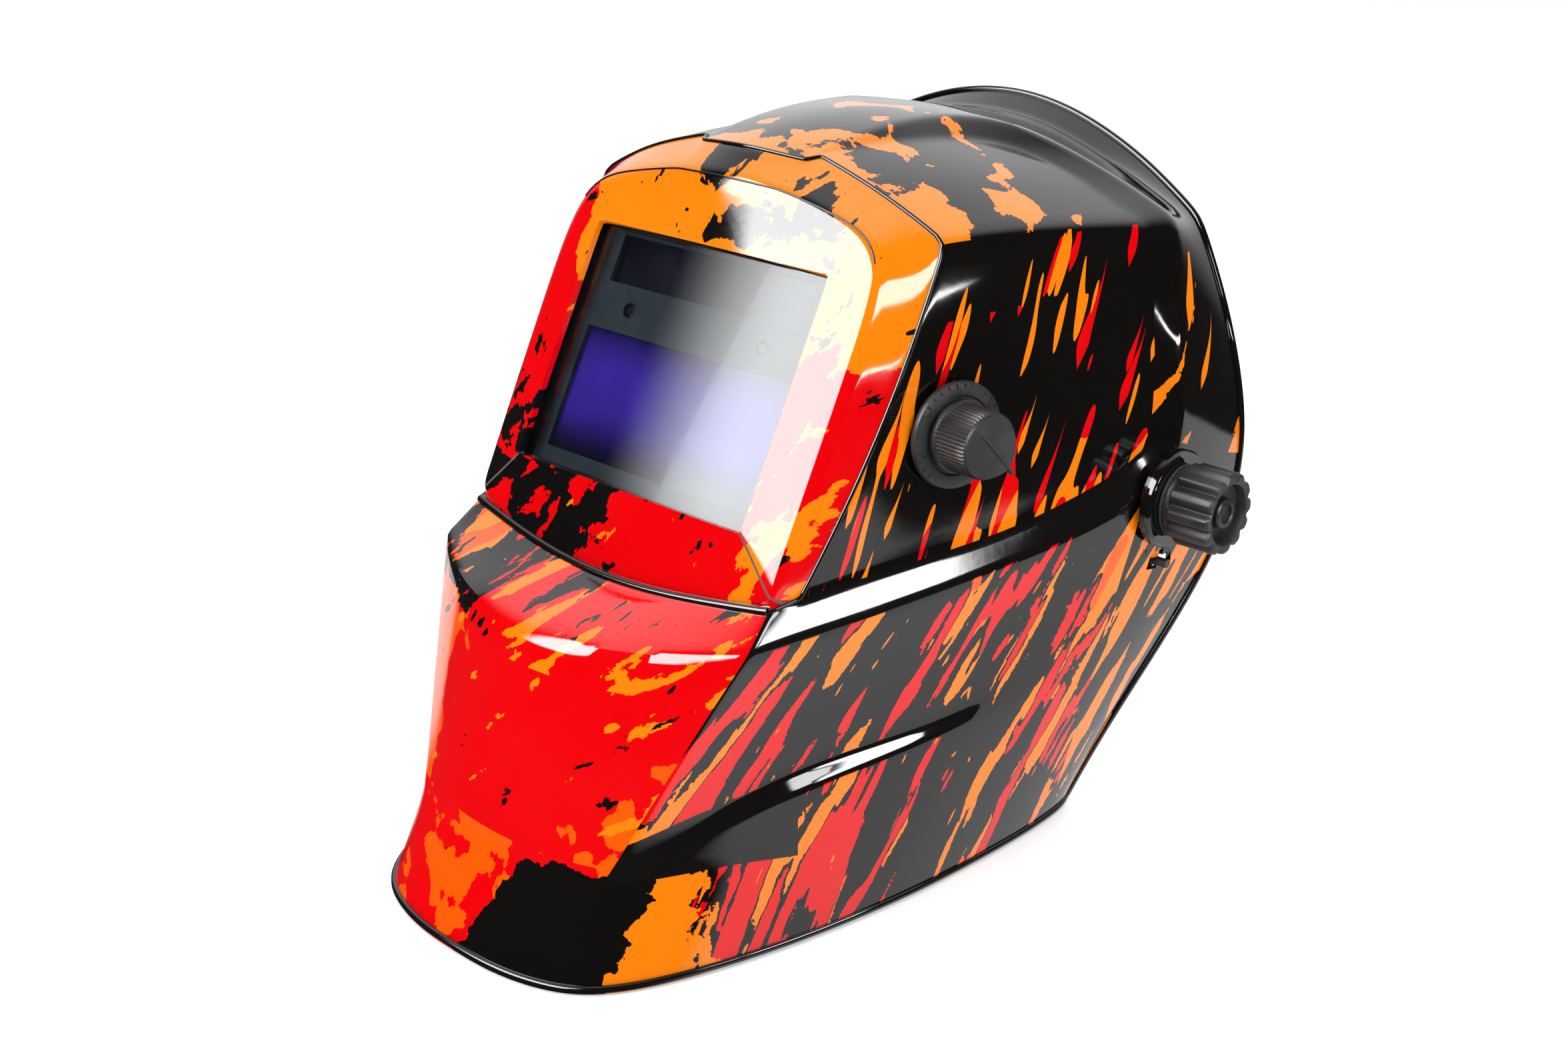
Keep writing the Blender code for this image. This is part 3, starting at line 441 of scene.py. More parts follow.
def chin_material():
    """Red middle with ragged orange edges, and black splatter below the window frame."""
    g = Graph("chin_paint")
    flat = g.join(g.x, 0.0, g.z)
    rag = ragged(g, flat, 3.6, 0.22, 1.0)
    left = g.ramp(g.x, -0.030, -0.050)
    right = g.ramp(g.x, 0.010, 0.050)
    low = g.ramp(g.z, 0.104, 0.052)
    blobs = g.noise(flat, 17, 2, 0.5, 0.5, seed=5.0)
    edge = g.plus(g.times(left, 0.42), g.times(g.both(right, low), 0.20))
    orange = g.over(g.plus(blobs, rag, edge), 0.72)
    splat = g.streaks(38, 9.0, 20.0, 3, 0.6, 0.4, cross=g.x, seed=8.0)
    top = g.ramp(g.z, 0.084, 0.100)
    leftwards = g.ramp(g.x, 0.02, -0.035)
    dark = g.over(g.plus(splat, rag, g.times(g.both(top, leftwards), 0.15),
                         g.times(top, 0.03)), 0.665)
    streak = g.streaks(38, 7.0, 24.0, 2, 0.5, 0.3, cross=g.x, seed=3.0)
    bright = g.both(g.over(g.plus(streak, rag), 0.56), g.over(top, 0.25))
    fringe = g.both(g.ramp(g.x, 0.030, 0.052), g.over(0.098, g.z))
    streaked = g.over(g.plus(streak, rag, g.times(fringe, 0.10)), 0.68)
    specks = g.both(g.over(g.plus(g.noise(flat, 12, 3, 0.6, seed=14.0), rag), 0.74),
                    g.over(0.080, g.z))
    colour = g.mix(orange, RED, DEEP_ORANGE)
    colour = g.mix(g.either(bright, streaked), colour, BRIGHT_ORANGE)
    colour = g.mix(g.either(dark, specks), colour, BLACK)
    g.colour(colour)
    return lacquer(g)


def collar_material():
    """Orange and red blotches at the left of the throat, glossy black towards the right."""
    g = Graph("collar_paint")
    flat = g.join(g.x, g.times(g.y, 0.6), g.z)
    rag = ragged(g, flat, 3.0, 0.20, 2.0)
    drift = ragged(g, flat, 13, 1.5, 33.0, 3)
    blobs = g.noise(flat, 16, 2, 0.5, 0.4, seed=21.0)
    red = g.over(g.plus(blobs, rag), 0.50)
    slanted = g.plus(g.x, g.times(g.z, -0.6))
    patch = g.both(g.ramp(slanted, -0.014, 0.010), g.ramp(g.x, 0.060, 0.046),
                   g.ramp(g.z, 0.042, 0.026))
    dots = g.noise(flat, 11, 3, 0.6, seed=17.0)
    dark = g.either(g.over(g.plus(patch, drift, rag, rag), 0.5),
                    g.over(g.plus(dots, rag), 0.70))
    colour = g.mix(red, DEEP_ORANGE, RED)
    colour = g.mix(g.over(g.x, 0.050), colour, BRIGHT_ORANGE)
    colour = g.mix(dark, colour, BLACK)
    behind = g.over(g.plus(g.ramp(g.y, -0.140, -0.100), drift, rag, rag), 0.42)
    g.colour(g.mix(behind, colour, flame_colour(g)))
    return lacquer(g)


def top_material():
    """Black roof with ragged orange patches, most of them near the window frame."""
    g = Graph("top_paint")
    flat = g.join(g.x, g.y, 0.0)
    rag = ragged(g, flat, 2.6, 0.17, 3.0)
    blobs = g.noise(flat, 15, 1, 0.4, 0.25, seed=31.0)
    front = g.ramp(g.y, -0.004, -0.034, 0.0, 0.22)
    rear = g.ramp(g.y, 0.030, 0.062, 0.0, -0.4)
    left = g.ramp(g.x, -0.010, -0.040, 0.0, -0.20)
    patch = g.over(g.plus(blobs, rag, front, rear, left), 0.612)
    g.colour(g.mix(patch, BLACK, BRIGHT_ORANGE))
    return lacquer(g)


def frame_material():
    """Window frame: orange above, red at the sides, with black and red splatter below."""
    g = Graph("frame_paint")
    flat = g.join(g.x, 0.0, g.z)
    rag = ragged(g, flat, 3.2, 0.22, 4.0)
    top = g.plus(g.ramp(g.z, 0.165, 0.200, -0.10, 0.30), g.ramp(g.x, -0.050, -0.064, 0.0, -0.5))
    streak = g.streaks(58, 10.0, 26.0, 2, 0.5, 0.4, cross=g.x, seed=12.0)
    right_low = g.both(g.ramp(g.x, 0.040, 0.060), g.ramp(g.z, 0.160, 0.140))
    orange = g.over(g.plus(streak, rag, top, g.times(right_low, 0.14)), 0.56)
    splat = g.streaks(40, 11.0, 16.0, 3, 0.6, 0.5, cross=g.x, seed=15.0)
    blots = g.noise(flat, 14, 3, 0.6, 0.3, seed=25.0)
    left_low = g.both(g.ramp(g.x, 0.022, -0.020), g.ramp(g.z, 0.165, 0.135))
    brow = g.both(g.ramp(g.z, 0.2035, 0.209), g.ramp(g.x, -0.030, 0.000),
                  g.ramp(g.x, 0.052, 0.030))
    dark = g.either(g.over(g.plus(splat, rag, g.times(left_low, 0.19)), 0.66),
                    g.over(g.plus(blots, rag, g.times(brow, 0.16)), 0.66))
    colour = g.mix(orange, RED, BRIGHT_ORANGE)
    colour = g.mix(dark, colour, BLACK)
    foot = LENS_FOOT_Z * MM
    corner = g.plus(g.math("ABSOLUTE", g.x), g.z, -WINDOW_HALF_WIDTH * MM - foot)
    mitre = g.both(g.over(0.0005, g.math("ABSOLUTE", corner)), g.over(foot, g.z))
    g.colour(g.mix(mitre, colour, (0.16, 0.12, 0.12)))
    return lacquer(g)


def rear_material():
    """Black rear of the sides, with a few drops and orange flames along the rear edge."""
    g = Graph("rear_paint")
    rag = ragged(g, g.place, 2.4, 0.07, 11.0, 2)
    fine = g.streaks(58, 7.5, 50.0, 2, 0.5, 0.3, seed=6.0)
    low = g.ramp(g.z, 0.175, 0.105, 0.0, 0.13)
    lit = g.over(g.plus(fine, rag, low), 0.655)
    colour = g.mix(lit, BLACK, BRIGHT_ORANGE)
    mask, pick = drops(g, 13.0, 48.0, 3.7, 0.35)
    mask = g.both(mask, g.over(0.195, g.z))
    g.colour(g.mix(mask, colour, g.mix(g.over(pick, 0.45), BRIGHT_ORANGE, RED)))
    return lacquer(g)


def gloss_black_material():
    """Plain black for the ledges, the seams and the rim."""
    g = Graph("gloss_black")
    fleck = g.noise(g.place, 30, 3, 0.6, seed=19.0)
    g.colour(g.mix(fleck, BLACK, (0.007, 0.006, 0.0055)))
    return lacquer(g)


def moulded_material(name, colour, low, high, grain=0.25, size=0.5):
    """Moulded plastic with a fine spark-eroded grain and slightly worn, shinier high spots."""
    g = Graph(name)
    cloud = g.noise(g.place, 9, 3, 0.6, seed=2.0)
    lighter = tuple(min(1.0, c * 1.7 + 0.004) for c in colour)
    g.colour(g.mix(g.ramp(cloud, 0.3, 0.8), colour, lighter))
    g.roughness(g.ramp(cloud, 0.3, 0.75, low, high))
    g.bump(g.noise(g.place, size, 2, 0.6, seed=5.0), grain, 0.00012)
    return g.material


def metal_material(name, colour, low, high):
    """Brushed metal, its roughness between low and high."""
    g = Graph(name, metallic=1.0)
    brushed = g.noise(g.join(g.times(g.x, 0.1), g.y, g.z), 0.35, 2, 0.6, seed=1.0)
    g.colour(g.mix(brushed, colour, tuple(c * 0.72 for c in colour)))
    g.roughness(g.ramp(brushed, 0.3, 0.7, low, high))
    g.bump(brushed, 0.15, 0.00005)
    return g.material


def window_material(name, colour, roughness, edge=None):
    """Tinted plate behind the cover lens; edge darkens it towards its lower and upper ends."""
    g = Graph(name)
    cloud = g.noise(g.place, 24, 2, 0.5, seed=1.0)
    tone = g.mix(g.ramp(cloud, 0.3, 0.75), colour, tuple(c * 0.75 for c in colour))
    if edge:
        shade = g.both(g.ramp(g.z, 0.134, 0.150), g.ramp(g.z, 0.178, 0.158))
        tone = g.mix(shade, edge, tone)
    g.colour(tone)
    g.roughness(g.ramp(cloud, 0.3, 0.8, roughness, roughness * 1.6))
    return g.material


def solar_material():
    """Solar cell: dark violet silicon with thin collector lines."""
    g = Graph("solar_cell_silicon", 0.12)
    wave = g.math("PINGPONG", g.x, 0.0015)
    line = g.over(wave, 0.00142)
    cloud = g.noise(g.place, 14, 2, 0.5, seed=3.0)
    cell = g.mix(cloud, (0.006, 0.004, 0.016), (0.014, 0.008, 0.026))
    g.colour(g.mix(g.times(line, 0.35), cell, (0.06, 0.05, 0.07)))
    g.roughness(g.ramp(cloud, 0.3, 0.8, 0.1, 0.2))
    return g.material


def lens_material():
    """Clear polycarbonate cover lens with faint wipe marks."""
    g = Graph("cover_lens_clear", 0.02)
    g.colour((0.72, 0.79, 0.84))
    g.look({"Transmission Weight": 1.0, "IOR": 1.45})
    wipe = g.noise(g.join(g.times(g.x, 0.4), g.y, g.z), 6, 3, 0.6, seed=3.0)
    g.roughness(g.ramp(wipe, 0.4, 0.8, 0.008, 0.05))
    return g.material


def fabric_material(name, colour):
    """Brushed towelling: small loops with an even weave beneath; the raised loop tops carry a
    painted highlight.
    """
    g = Graph(name, 0.95)
    loops = g.add("ShaderNodeTexVoronoi", {"Vector": g.place, "Scale": 900.0}, feature="F1")
    warp = g.math("SINE", g.times(g.x, 5200.0))
    weft = g.math("SINE", g.times(g.z, 5200.0))
    weave = g.times(g.both(warp, weft), 0.25)
    height = g.plus(g.times(loops.outputs["Distance"], -0.8), weave)
    cloud = g.noise(g.place, 7, 4, 0.65, seed=8.0)
    lighter = tuple(c * 2.1 for c in colour)
    # Painted highlight: the loop tops, where the bump rises, are painted lighter than the
    # valleys.
    loop_top_highlight = g.mix(g.ramp(loops.outputs["Distance"], 0.55, 0.1), colour, lighter)
    g.colour(g.mix(g.times(cloud, 0.5), loop_top_highlight, tuple(c * 1.3 for c in colour)))
    g.roughness(g.ramp(cloud, 0.3, 0.7, 0.86, 0.98))
    g.look({"Sheen Weight": 0.5, "Sheen Roughness": 0.5})
    g.bump(height, 0.6, 0.0004)
    return g.material


def board_material():
    """Circuit board: green lacquer with brighter copper tracks under it."""
    g = Graph("board_lacquer", 0.35)
    inputs = {"Vector": g.join(g.x, g.z), "Scale": 220.0, "Color1": (0.01, 0.10, 0.035),
              "Color2": (0.008, 0.075, 0.03), "Mortar": (0.05, 0.22, 0.07), "Mortar Size": 0.03}
    bricks = g.add("ShaderNodeTexBrick", inputs, offset=0.4)
    g.colour(bricks.outputs["Color"])
    g.bump(bricks.outputs["Fac"], 0.3, 0.00005)
    return g.material


# Name, colour, lowest and highest roughness, and the grain's strength and size.
MOULDED = {
    "inside": ("shell_inside", (0.011, 0.011, 0.012), 0.32, 0.5, 0.2),
    "black": ("black_moulding", (0.012, 0.012, 0.0125), 0.38, 0.56),
    "satin": ("satin_moulding", (0.02, 0.02, 0.021), 0.28, 0.45, 0.2),
    "case": ("case_moulding", (0.022, 0.030, 0.034), 0.3, 0.45, 0.15),
    "rubber": ("rubber", (0.012, 0.012, 0.012), 0.6, 0.85, 0.4, 0.8),
}


@functools.cache
def finish_of(key):
    """The material of a finish, made when it is first asked for."""
    if key in MOULDED:
        return moulded_material(*MOULDED[key])
    if key == "steel":
        return metal_material("zinc_steel", (0.62, 0.63, 0.64), 0.22, 0.42)
    if key == "glass":
        return window_material("filter_glass", (0.12, 0.05, 0.64), 0.04, (0.010, 0.008, 0.035))
    if key == "dot":
        return window_material("sensor_glass", (0.02, 0.02, 0.03), 0.08)
    if key == "fabric":
        return fabric_material("towelling", (0.018, 0.018, 0.020))
    return {
        "chin": chin_material, "collar": collar_material, "side_low": side_low_material,
        "side_high": side_high_material, "top": top_material, "frame": frame_material,
        "rear": rear_material, "gloss_black": gloss_black_material,
        "solar": solar_material, "lens": lens_material, "board": board_material,
    }[key]()


# ---------------------------------------------------------------- making objects

def add_object(name, bm, place, finish, smooth=35):
    """An object from a mesh in millimetres, put at its place in the shared frame."""
    bmesh.ops.transform(bm, matrix=Matrix.Scale(MM, 4) @ place, verts=bm.verts)
    bmesh.ops.recalc_face_normals(bm, faces=bm.faces)
    mesh = bpy.data.meshes.new(name)
    bm.to_mesh(mesh)
    bm.free()
    if smooth:
        mesh.shade_smooth()
        mesh.set_sharp_from_angle(angle=math.radians(smooth))
    made = linked(name, mesh)
    for key in [finish] if isinstance(finish, str) else finish:
        mesh.materials.append(finish_of(key))
    return made


def baked(made):
    """A mesh of an object as its modifiers leave it."""
    graph = bpy.context.evaluated_depsgraph_get()
    return bpy.data.meshes.new_from_object(made.evaluated_get(graph))


def settle(made):
    """Turns an object's modifiers into its mesh."""
    mesh = baked(made)
    made.modifiers.clear()
    made.data = mesh
    return made


def round_edges(made, width, segments=3):
    """Rounds the sharp edges with a modifier, which leaves the mesh as it is."""
    step = made.modifiers.new("Edges", "BEVEL")
    step.width, step.segments = width * MM, segments
    step.limit_method, step.angle_limit = "ANGLE", math.radians(35)
    step.harden_normals = True
    return made


def loft(loops, ring=False):
    """A skin through loops of points, capped at both ends or joined into a ring."""
    bm = bmesh.new()
    rows = [[bm.verts.new(point) for point in loop] for loop in loops]
    count = len(rows[0])
    pairs = list(zip(rows, rows[1:]))
    if ring:
        pairs.append((rows[-1], rows[0]))
    for low, high in pairs:
        for i in range(count):
            j = (i + 1) % count
            bm.faces.new((low[i], low[j], high[j], high[i]))
    if not ring:
        bm.faces.new(list(reversed(rows[0])))
        bm.faces.new(rows[-1])
    return bm


def spun(profile, count, shape=lambda angle, radius, z: radius, ring=True):
    """A closed turned skin; shape may change the radius with the angle."""
    angles = [2 * math.pi * i / count for i in range(count)]
    loops = []
    for radius, z in profile:
        edge = [shape(a, radius, z) for a in angles]
        loops.append([(r * math.cos(a), r * math.sin(a), z) for r, a in zip(edge, angles)])
    return loft(loops, ring)


def tube_along(name, points, radius, finish, closed=False):
    """A round bead through points in metres."""
    curve = bpy.data.curves.new(name, "CURVE")
    curve.dimensions = "3D"
    curve.bevel_depth, curve.bevel_resolution = radius * MM, 2
    curve.use_fill_caps = True
    line = curve.splines.new("POLY")
    line.points.add(len(points) - 1)
    for target, point in zip(line.points, points):
        target.co = (*point, 1.0)
    line.use_cyclic_u = closed
    curve.materials.append(finish_of(finish))
    return linked(name, curve)


def joined(first, *others):
    """Several bmeshes as one."""
    for other in others:
        mesh = bpy.data.meshes.new("joined")
        other.to_mesh(mesh)
        other.free()
        first.from_mesh(mesh)
        bpy.data.meshes.remove(mesh)
    return first


def moved(bm, matrix):
    """The bmesh itself, transformed."""
    bmesh.ops.transform(bm, matrix=matrix, verts=bm.verts)
    return bm


def pointing(vector):
    """A turn that brings z to the vector."""
    return vector.to_track_quat("Z", "Y").to_matrix().to_4x4()


def combine(target, tool, operation="DIFFERENCE"):
    """Cuts or unites with the fast solver and settles the result."""
    step = target.modifiers.new(operation.title(), "BOOLEAN")
    step.operation, step.object, step.solver = operation, tool, "MANIFOLD"
    step.material_mode = "TRANSFER"
    settle(target)
    bpy.data.objects.remove(tool, do_unlink=True)
    return target


def smooth_path(points, steps):
    """Points on a Catmull-Rom curve through the given ones."""
    vectors = [Vector(p) for p in points]
    ends = [2 * vectors[0] - vectors[1]] + vectors + [2 * vectors[-1] - vectors[-2]]
    path = []
    for a, b, c, d in zip(ends, ends[1:], ends[2:], ends[3:]):
        for i in range(steps):
            t = i / steps
            path.append(0.5 * (2 * b + (c - a) * t + (2 * a - 5 * b + 4 * c - d) * t * t
                               + (3 * b - a - 3 * c + d) * t ** 3))
    return path + [vectors[-1]]


def box(x0, x1, y0, y1, z0, z1):
    """A block between these coordinates."""
    corners = ((x0, y0), (x1, y0), (x1, y1), (x0, y1))
    return loft([[(x, y, z) for x, y in corners] for z in (z0, z1)])


def rod(radius, z0, z1, count=32):
    """A cylinder along z."""
    return spun([(radius, z0), (radius, z1)], count, ring=False)


def smooth_moulding(made):
    """Smooth shading and rounded edges for a moulding that has been cut."""
    made.data.shade_smooth()
    made.data.set_sharp_from_angle(angle=math.radians(30))
    return round_edges(made, 0.3, 2)


def band_point(angle, inset=0.0):
    """A point of the headband's middle line, seen from above; angle 0 is the forehead."""
    middle = Vector((BAND_HALF_WIDTH * math.sin(angle),
                     BAND_CENTRE - BAND_HALF_LENGTH * math.cos(angle)))
    normal = Vector((math.sin(angle) / BAND_HALF_WIDTH,
                     -math.cos(angle) / BAND_HALF_LENGTH)).normalized()
    return middle - normal * inset


def strip(path, thickness, low, high, crown=0.0, across=1):
    """A flat band that stands on edge along a path; low and high give its edges."""
    loops = []
    for i, point in enumerate(path):
        before, after = path[max(i - 1, 0)], path[min(i + 1, len(path) - 1)]
        along = (after - before).normalized()
        side = Vector((along.y, -along.x)) * thickness / 2
        t = i / (len(path) - 1)
        z0, z1 = low(t), high(t)
        right, left = [], []
        for k in range(across + 1):
            s = k / across
            bulge = 1 + crown * math.sin(math.pi * s)
            z = z0 + (z1 - z0) * s
            right.append((point.x + side.x * bulge, point.y + side.y * bulge, z))
            left.append((point.x - side.x * bulge, point.y - side.y * bulge, z))
        loops.append(right + left[::-1])
    return loft(loops)


# ---------------------------------------------------------------- the shell

# The shell's control cage, left half. Each row runs backwards along the side, from the
# middle of the front or from the window block, to the rear rim.
CHIN_ROWS = {
    "rim": [(0, -80, -4), (19, -79.7, -4), (38, -74.7, -4)],
    "collar": [(0, -61.5, 31.5), (15.5, -60.7, 31.6), (31, -57.8, 32)],
    "ledge_low": [(0, -60.7, 36), (16, -59.8, 36), (31.7, -56.8, 36)],
    "ledge_high": [(0, -59.8, 41), (16.5, -58.8, 41), (33, -55.3, 40.5)],
    "waist": [(0, -53.5, 68), (20, -51.3, 68.5), (40.5, -45, 69)],
    "band_low": [(0, -44, 100), (23.5, -41, 101), (48, -32, 102.5)],
    "band_high": [(0, -10.5, 107.5), (23, -10, 108.5), (46, -7.7, 111)],
}
CORNER = {
    "rim": (53, -65, -4), "collar": (44, -53, 32.5), "ledge_low": (45.5, -51, 36),
    "ledge_high": (47, -48.8, 40), "waist": (57.5, -34.5, 69.5),
    "band_low": (70.6, -17, 103.6), "band_high": (67.6, -4.3, 113.6),
}
SIDE_ROWS = {
    "rim": [(66, -40, -4), (77, -2, -4), (84.5, 40, -4), (87, 74, -4), (88, 100, -4),
            (87, 115, -4), (86, 121, -4), (84.6, 125, -4), (83, 128, -4)],
    "collar": [(57, -33, 33), (73, 2, 32), (84.5, 46, 27), (88.3, 80, 22), (90, 104, 20),
               (90.5, 121, 20), (90.3, 131, 21), (89.6, 138.5, 22), (88.5, 144, 22.5)],
    "ledge_low": [(57.5, -29.5, 41), (72, 1, 51.5), (83.5, 50, 53.5), (90, 79, 58),
                  (95.5, 106, 62), (98.5, 128, 66), (99, 141, 64), (98.5, 152, 58),
                  (96, 162, 50)],
    "ledge_high": [(55.5, -28, 45), (67, 3, 56.5), (80.5, 50, 57.5), (88.5, 79, 60.8),
                   (95.3, 106, 66), (99.5, 128, 76), (101, 142, 78), (102, 155, 77),
                   (101, 173, 69)],
    "waist": [(63, -18.5, 74), (74, 19, 79), (83, 55, 83), (90.3, 86, 87), (97, 113, 92),
              (102, 135, 98), (104.5, 148, 100), (106, 163, 96), (105, 181, 86)],
    "band_low": [(72.6, -7, 103.9), (80.5, 27, 105.4), (87.3, 60, 107.4), (93, 89, 109.8),
                 (99.3, 117, 113.4), (104.8, 141, 120.5), (107, 149.5, 126.5),
                 (108.6, 168, 114), (107.5, 187.5, 104)],
    "band_high": [(70, 6, 115), (76, 33, 115.8), (82.3, 61, 116.9), (87.6, 90, 117.8),
                  (94.3, 120, 124), (99.8, 144.5, 132), (107.2, 150.3, 135),
                  (108.6, 170, 126), (108.4, 190, 121)],
    "panel_low": [(73.3, 25.5, 143), (77.5, 48, 144), (82.5, 72, 145.5), (87.5, 97, 147),
                  (93.8, 123, 148), (100, 146, 150), (107, 150.8, 151), (108, 171.5, 148),
                  (107.2, 189, 143)],
    "panel_high": [(75.8, 46, 178), (78.8, 63, 178.5), (82, 84, 179), (85.8, 105, 179.2),
                   (90.8, 128, 179), (97, 147.5, 178.5), (104, 152.5, 178),
                   (104, 172.5, 176), (98.5, 188, 174)],
    "shoulder": [(75, 65, 214), (77.8, 77, 213.8), (81.3, 94, 212.9), (84, 111, 211.4),
                 (87, 129, 209.4), (89.8, 146.5, 207.5), (93, 163, 206.8), (87, 180, 201.5),
                 (84, 190, 201)],
    "top_outer": [(50, 62.5, 226.5), (52.5, 76, 226.8), (55, 93, 226.2), (57, 111, 224.7),
                  (59, 130, 222.5), (62, 147.5, 219.8), (67, 158, 220), (60, 180.5, 213.5),
                  (62.5, 192.5, 214.8)],
    "hump_low": [(24.9, 64.5, 232.7), (25.6, 77, 233.2), (27, 92, 233.1), (28.8, 108, 232.2),
                 (30.8, 125, 230.3), (38, 141.5, 227.4), (47, 150.5, 229),
                 (38, 181.5, 221.8), (43, 193, 224.2)],
    "hump_high": [(22.4, 59.5, 231.9), (23, 75, 235.2), (23.3, 91, 237), (23.7, 108, 237.5),
                  (24.2, 124, 236.8), (28.5, 138.5, 235.2), (35.5, 146.5, 232.6),
                  (20, 182.5, 226.3), (23, 193.6, 230.8)],
    "ridge": [(0, 54, 234.5), (0, 72, 237.6), (0, 90, 239.3), (0, 108, 239.8),
              (0, 125, 238.8), (0, 141, 236.8), (0, 153, 234.4), (0, 183, 227.6),
              (0, 194.5, 233.4)],
}
LOWER_ROWS = list(CHIN_ROWS)
UPPER_ROWS = [row for row in SIDE_ROWS if row not in CHIN_ROWS]
ALL_ROWS = LOWER_ROWS + UPPER_ROWS

# The window block: a ring of points from the top's middle down to the bottom's middle.
BLOCK_EDGE = [(0, 46, 226), (20, 47.2, 225.2), (22.5, 47.4, 225), (46, 49, 220.5),
              (68, 47.2, 214.2), (68.3, 29.2, 180), (68.2, 11, 145), (67.8, -1.6, 120.5),
              (67.5, -4, 116), (46, -7.3, 113.3), (23, -9.2, 111), (0, -9.8, 110)]
WINDOW_EDGE = [(0, 1), (0.3, 1), (0.34, 1), (0.68, 1), (1, 1), (1, 0.7), (1, 0.32), (1, 0.06),
               (1, 0), (0.68, 0), (0.34, 0), (0, 0)]

PANEL_BACK, RIB, VALLEY = 5, 6, 7


def window_point(across, up):
    """A point of the window's edge: across and up are shares of its width and height."""
    height = up * WINDOW_HEIGHT
    return (across * WINDOW_HALF_WIDTH, height * math.sin(LENS_LEAN),
            LENS_FOOT_Z + height * math.cos(LENS_LEAN))


SKIN = ("chin", "collar", "side_low", "side_high", "rear", "top", "frame", "gloss_black",
        "inside")
GROOVE, UNDER_RIDGE, BROW_LINE = 1, 2, 3


def region(low, column):
    """The paint of the face above a row; columns run backwards and the corner is -1."""
    front = column < -1
    side = "side_low" if column < PANEL_BACK else "rear"
    if low in ("rim", "collar"):
        if column >= 1:
            return side
        return "collar" if low == "rim" or front else "gloss_black"
    if low in ("ledge_low", "ledge_high", "waist", "band_low"):
        if front:
            return "chin"
        black = low == "band_low" or (low == "ledge_low" and column < 3)
        return "gloss_black" if black else side
    if low in ("band_high", "panel_low", "panel_high"):
        return "side_high" if column < PANEL_BACK else "rear"
    return "top"


def shell_cage():
    """The cage as a mesh with paints, creases and traced seams, welded along the middle."""
    bm = bmesh.new()
    crease = bm.edges.layers.float.new("crease_edge")
    corner_crease = bm.verts.layers.float.new("crease_vert")
    trace = bm.edges.layers.int.new("trace")
    for side in (1, -1):
        known = {}

        def vertex(point):
            if point not in known:
                known[point] = bm.verts.new((side * point[0], point[1], point[2]))
            return known[point]

        rows = {}
        for name in ALL_ROWS:
            front = CHIN_ROWS[name] + [CORNER[name]] if name in CHIN_ROWS else []
            rows[name] = [vertex(p) for p in front + SIDE_ROWS[name]]
        block = [vertex(p) for p in BLOCK_EDGE]
        window = [vertex(window_point(*share)) for share in WINDOW_EDGE]

        def face(paint, *corners):
            made = bm.faces.new(corners if side > 0 else tuple(reversed(corners)))
            made.material_index = SKIN.index(paint)

        for low, high in zip(ALL_ROWS, ALL_ROWS[1:]):
            lower, upper = rows[low][-len(rows[high]):], rows[high]
            for i in range(len(upper) - 1):
                column = i + len(SIDE_ROWS[high]) - len(upper)
                face(region(low, column), lower[i], lower[i + 1], upper[i + 1], upper[i])
        upper_start = [rows[name][0] for name in reversed(UPPER_ROWS)]
        groove = upper_start + [rows["band_high"][i] for i in (4, 3, 2, 1, 0)]
        for ring_a, ring_b in ((groove, block), (block, window)):
            for i in range(len(ring_a) - 1):
                face("frame", ring_a[i], ring_a[i + 1], ring_b[i + 1], ring_b[i])

        def mark(chain, amount, seam=0):
            for a, b in zip(chain, chain[1:]):
                edge = bm.edges.get((a, b))
                if amount:
                    edge[crease] = amount
                edge[trace] = seam or edge[trace]

        window[4][corner_crease] = window[8][corner_crease] = 0.85
        mark(groove, 0.62)
        mark(groove[:9], 0, GROOVE)
        mark(groove[8:], 0, UNDER_RIDGE)
        mark(block, 0.5)
        mark(block[:5], 0, BROW_LINE)
        mark([rows[name][3] for name in LOWER_ROWS[1:]], 0.55)
        mark(rows["band_low"][3:11], 0.72)
        mark(rows["band_low"][:2], 0.4)
        mark(rows["band_low"][1:4], 0.7)
        mark(rows["band_high"][4:10], 0.72)
        mark([rows["band_high"][9]] + [rows[n][PANEL_BACK] for n in UPPER_ROWS[:-2]], 0.55)
        mark([rows[n][10] for n in ("band_low", "band_high")]
             + [rows[n][RIB] for n in UPPER_ROWS[:-1]], 0.55)
        mark(rows["hump_low"][:PANEL_BACK + 1], 0.55)
        mark(rows["hump_high"][:RIB + 1], 0.5)
        mark(rows["shoulder"][:PANEL_BACK + 1], 0.52)
        mark(rows["shoulder"][PANEL_BACK:], 0.4)
        mark(rows["ledge_low"][4:8], 0.5)
        mark(rows["ledge_high"][4:8], 0.5)
        mark(rows["collar"][:6], 0.42)
        mark([rows[n][VALLEY] for n in ("ridge", "hump_high", "hump_low", "top_outer")], 0.45)
    bmesh.ops.remove_doubles(bm, verts=bm.verts, dist=0.01)
    return bm


def ordered_chains(edges):
    """Vertex paths through edges that join end to end."""
    linked = {}
    for edge in edges:
        for a, b in (edge.verts, reversed(edge.verts)):
            linked.setdefault(a, []).append(b)
    paths, unused = [], set(linked)
    while unused:
        ends = sorted((v for v in unused if len(linked[v]) == 1), key=lambda v: v.index)
        here = ends[0] if ends else min(unused, key=lambda v: v.index)
        path = [here]
        unused.discard(here)
        while True:
            onward = [v for v in linked[here] if v in unused]
            if not onward:
                break
            here = onward[0]
            unused.discard(here)
            path.append(here)
        paths.append(([v.co.copy() for v in path], path[0] in linked[path[-1]] and len(path) > 2))
    return paths


def at_window(edge):
    """Whether an open edge of the skin lies round the window rather than at the rim."""
    x, y, z = edge.verts[0].co / MM
    return abs(x) < WINDOW_HALF_WIDTH + 1.3 and y < -30 and z > LENS_FOOT_Z - 4


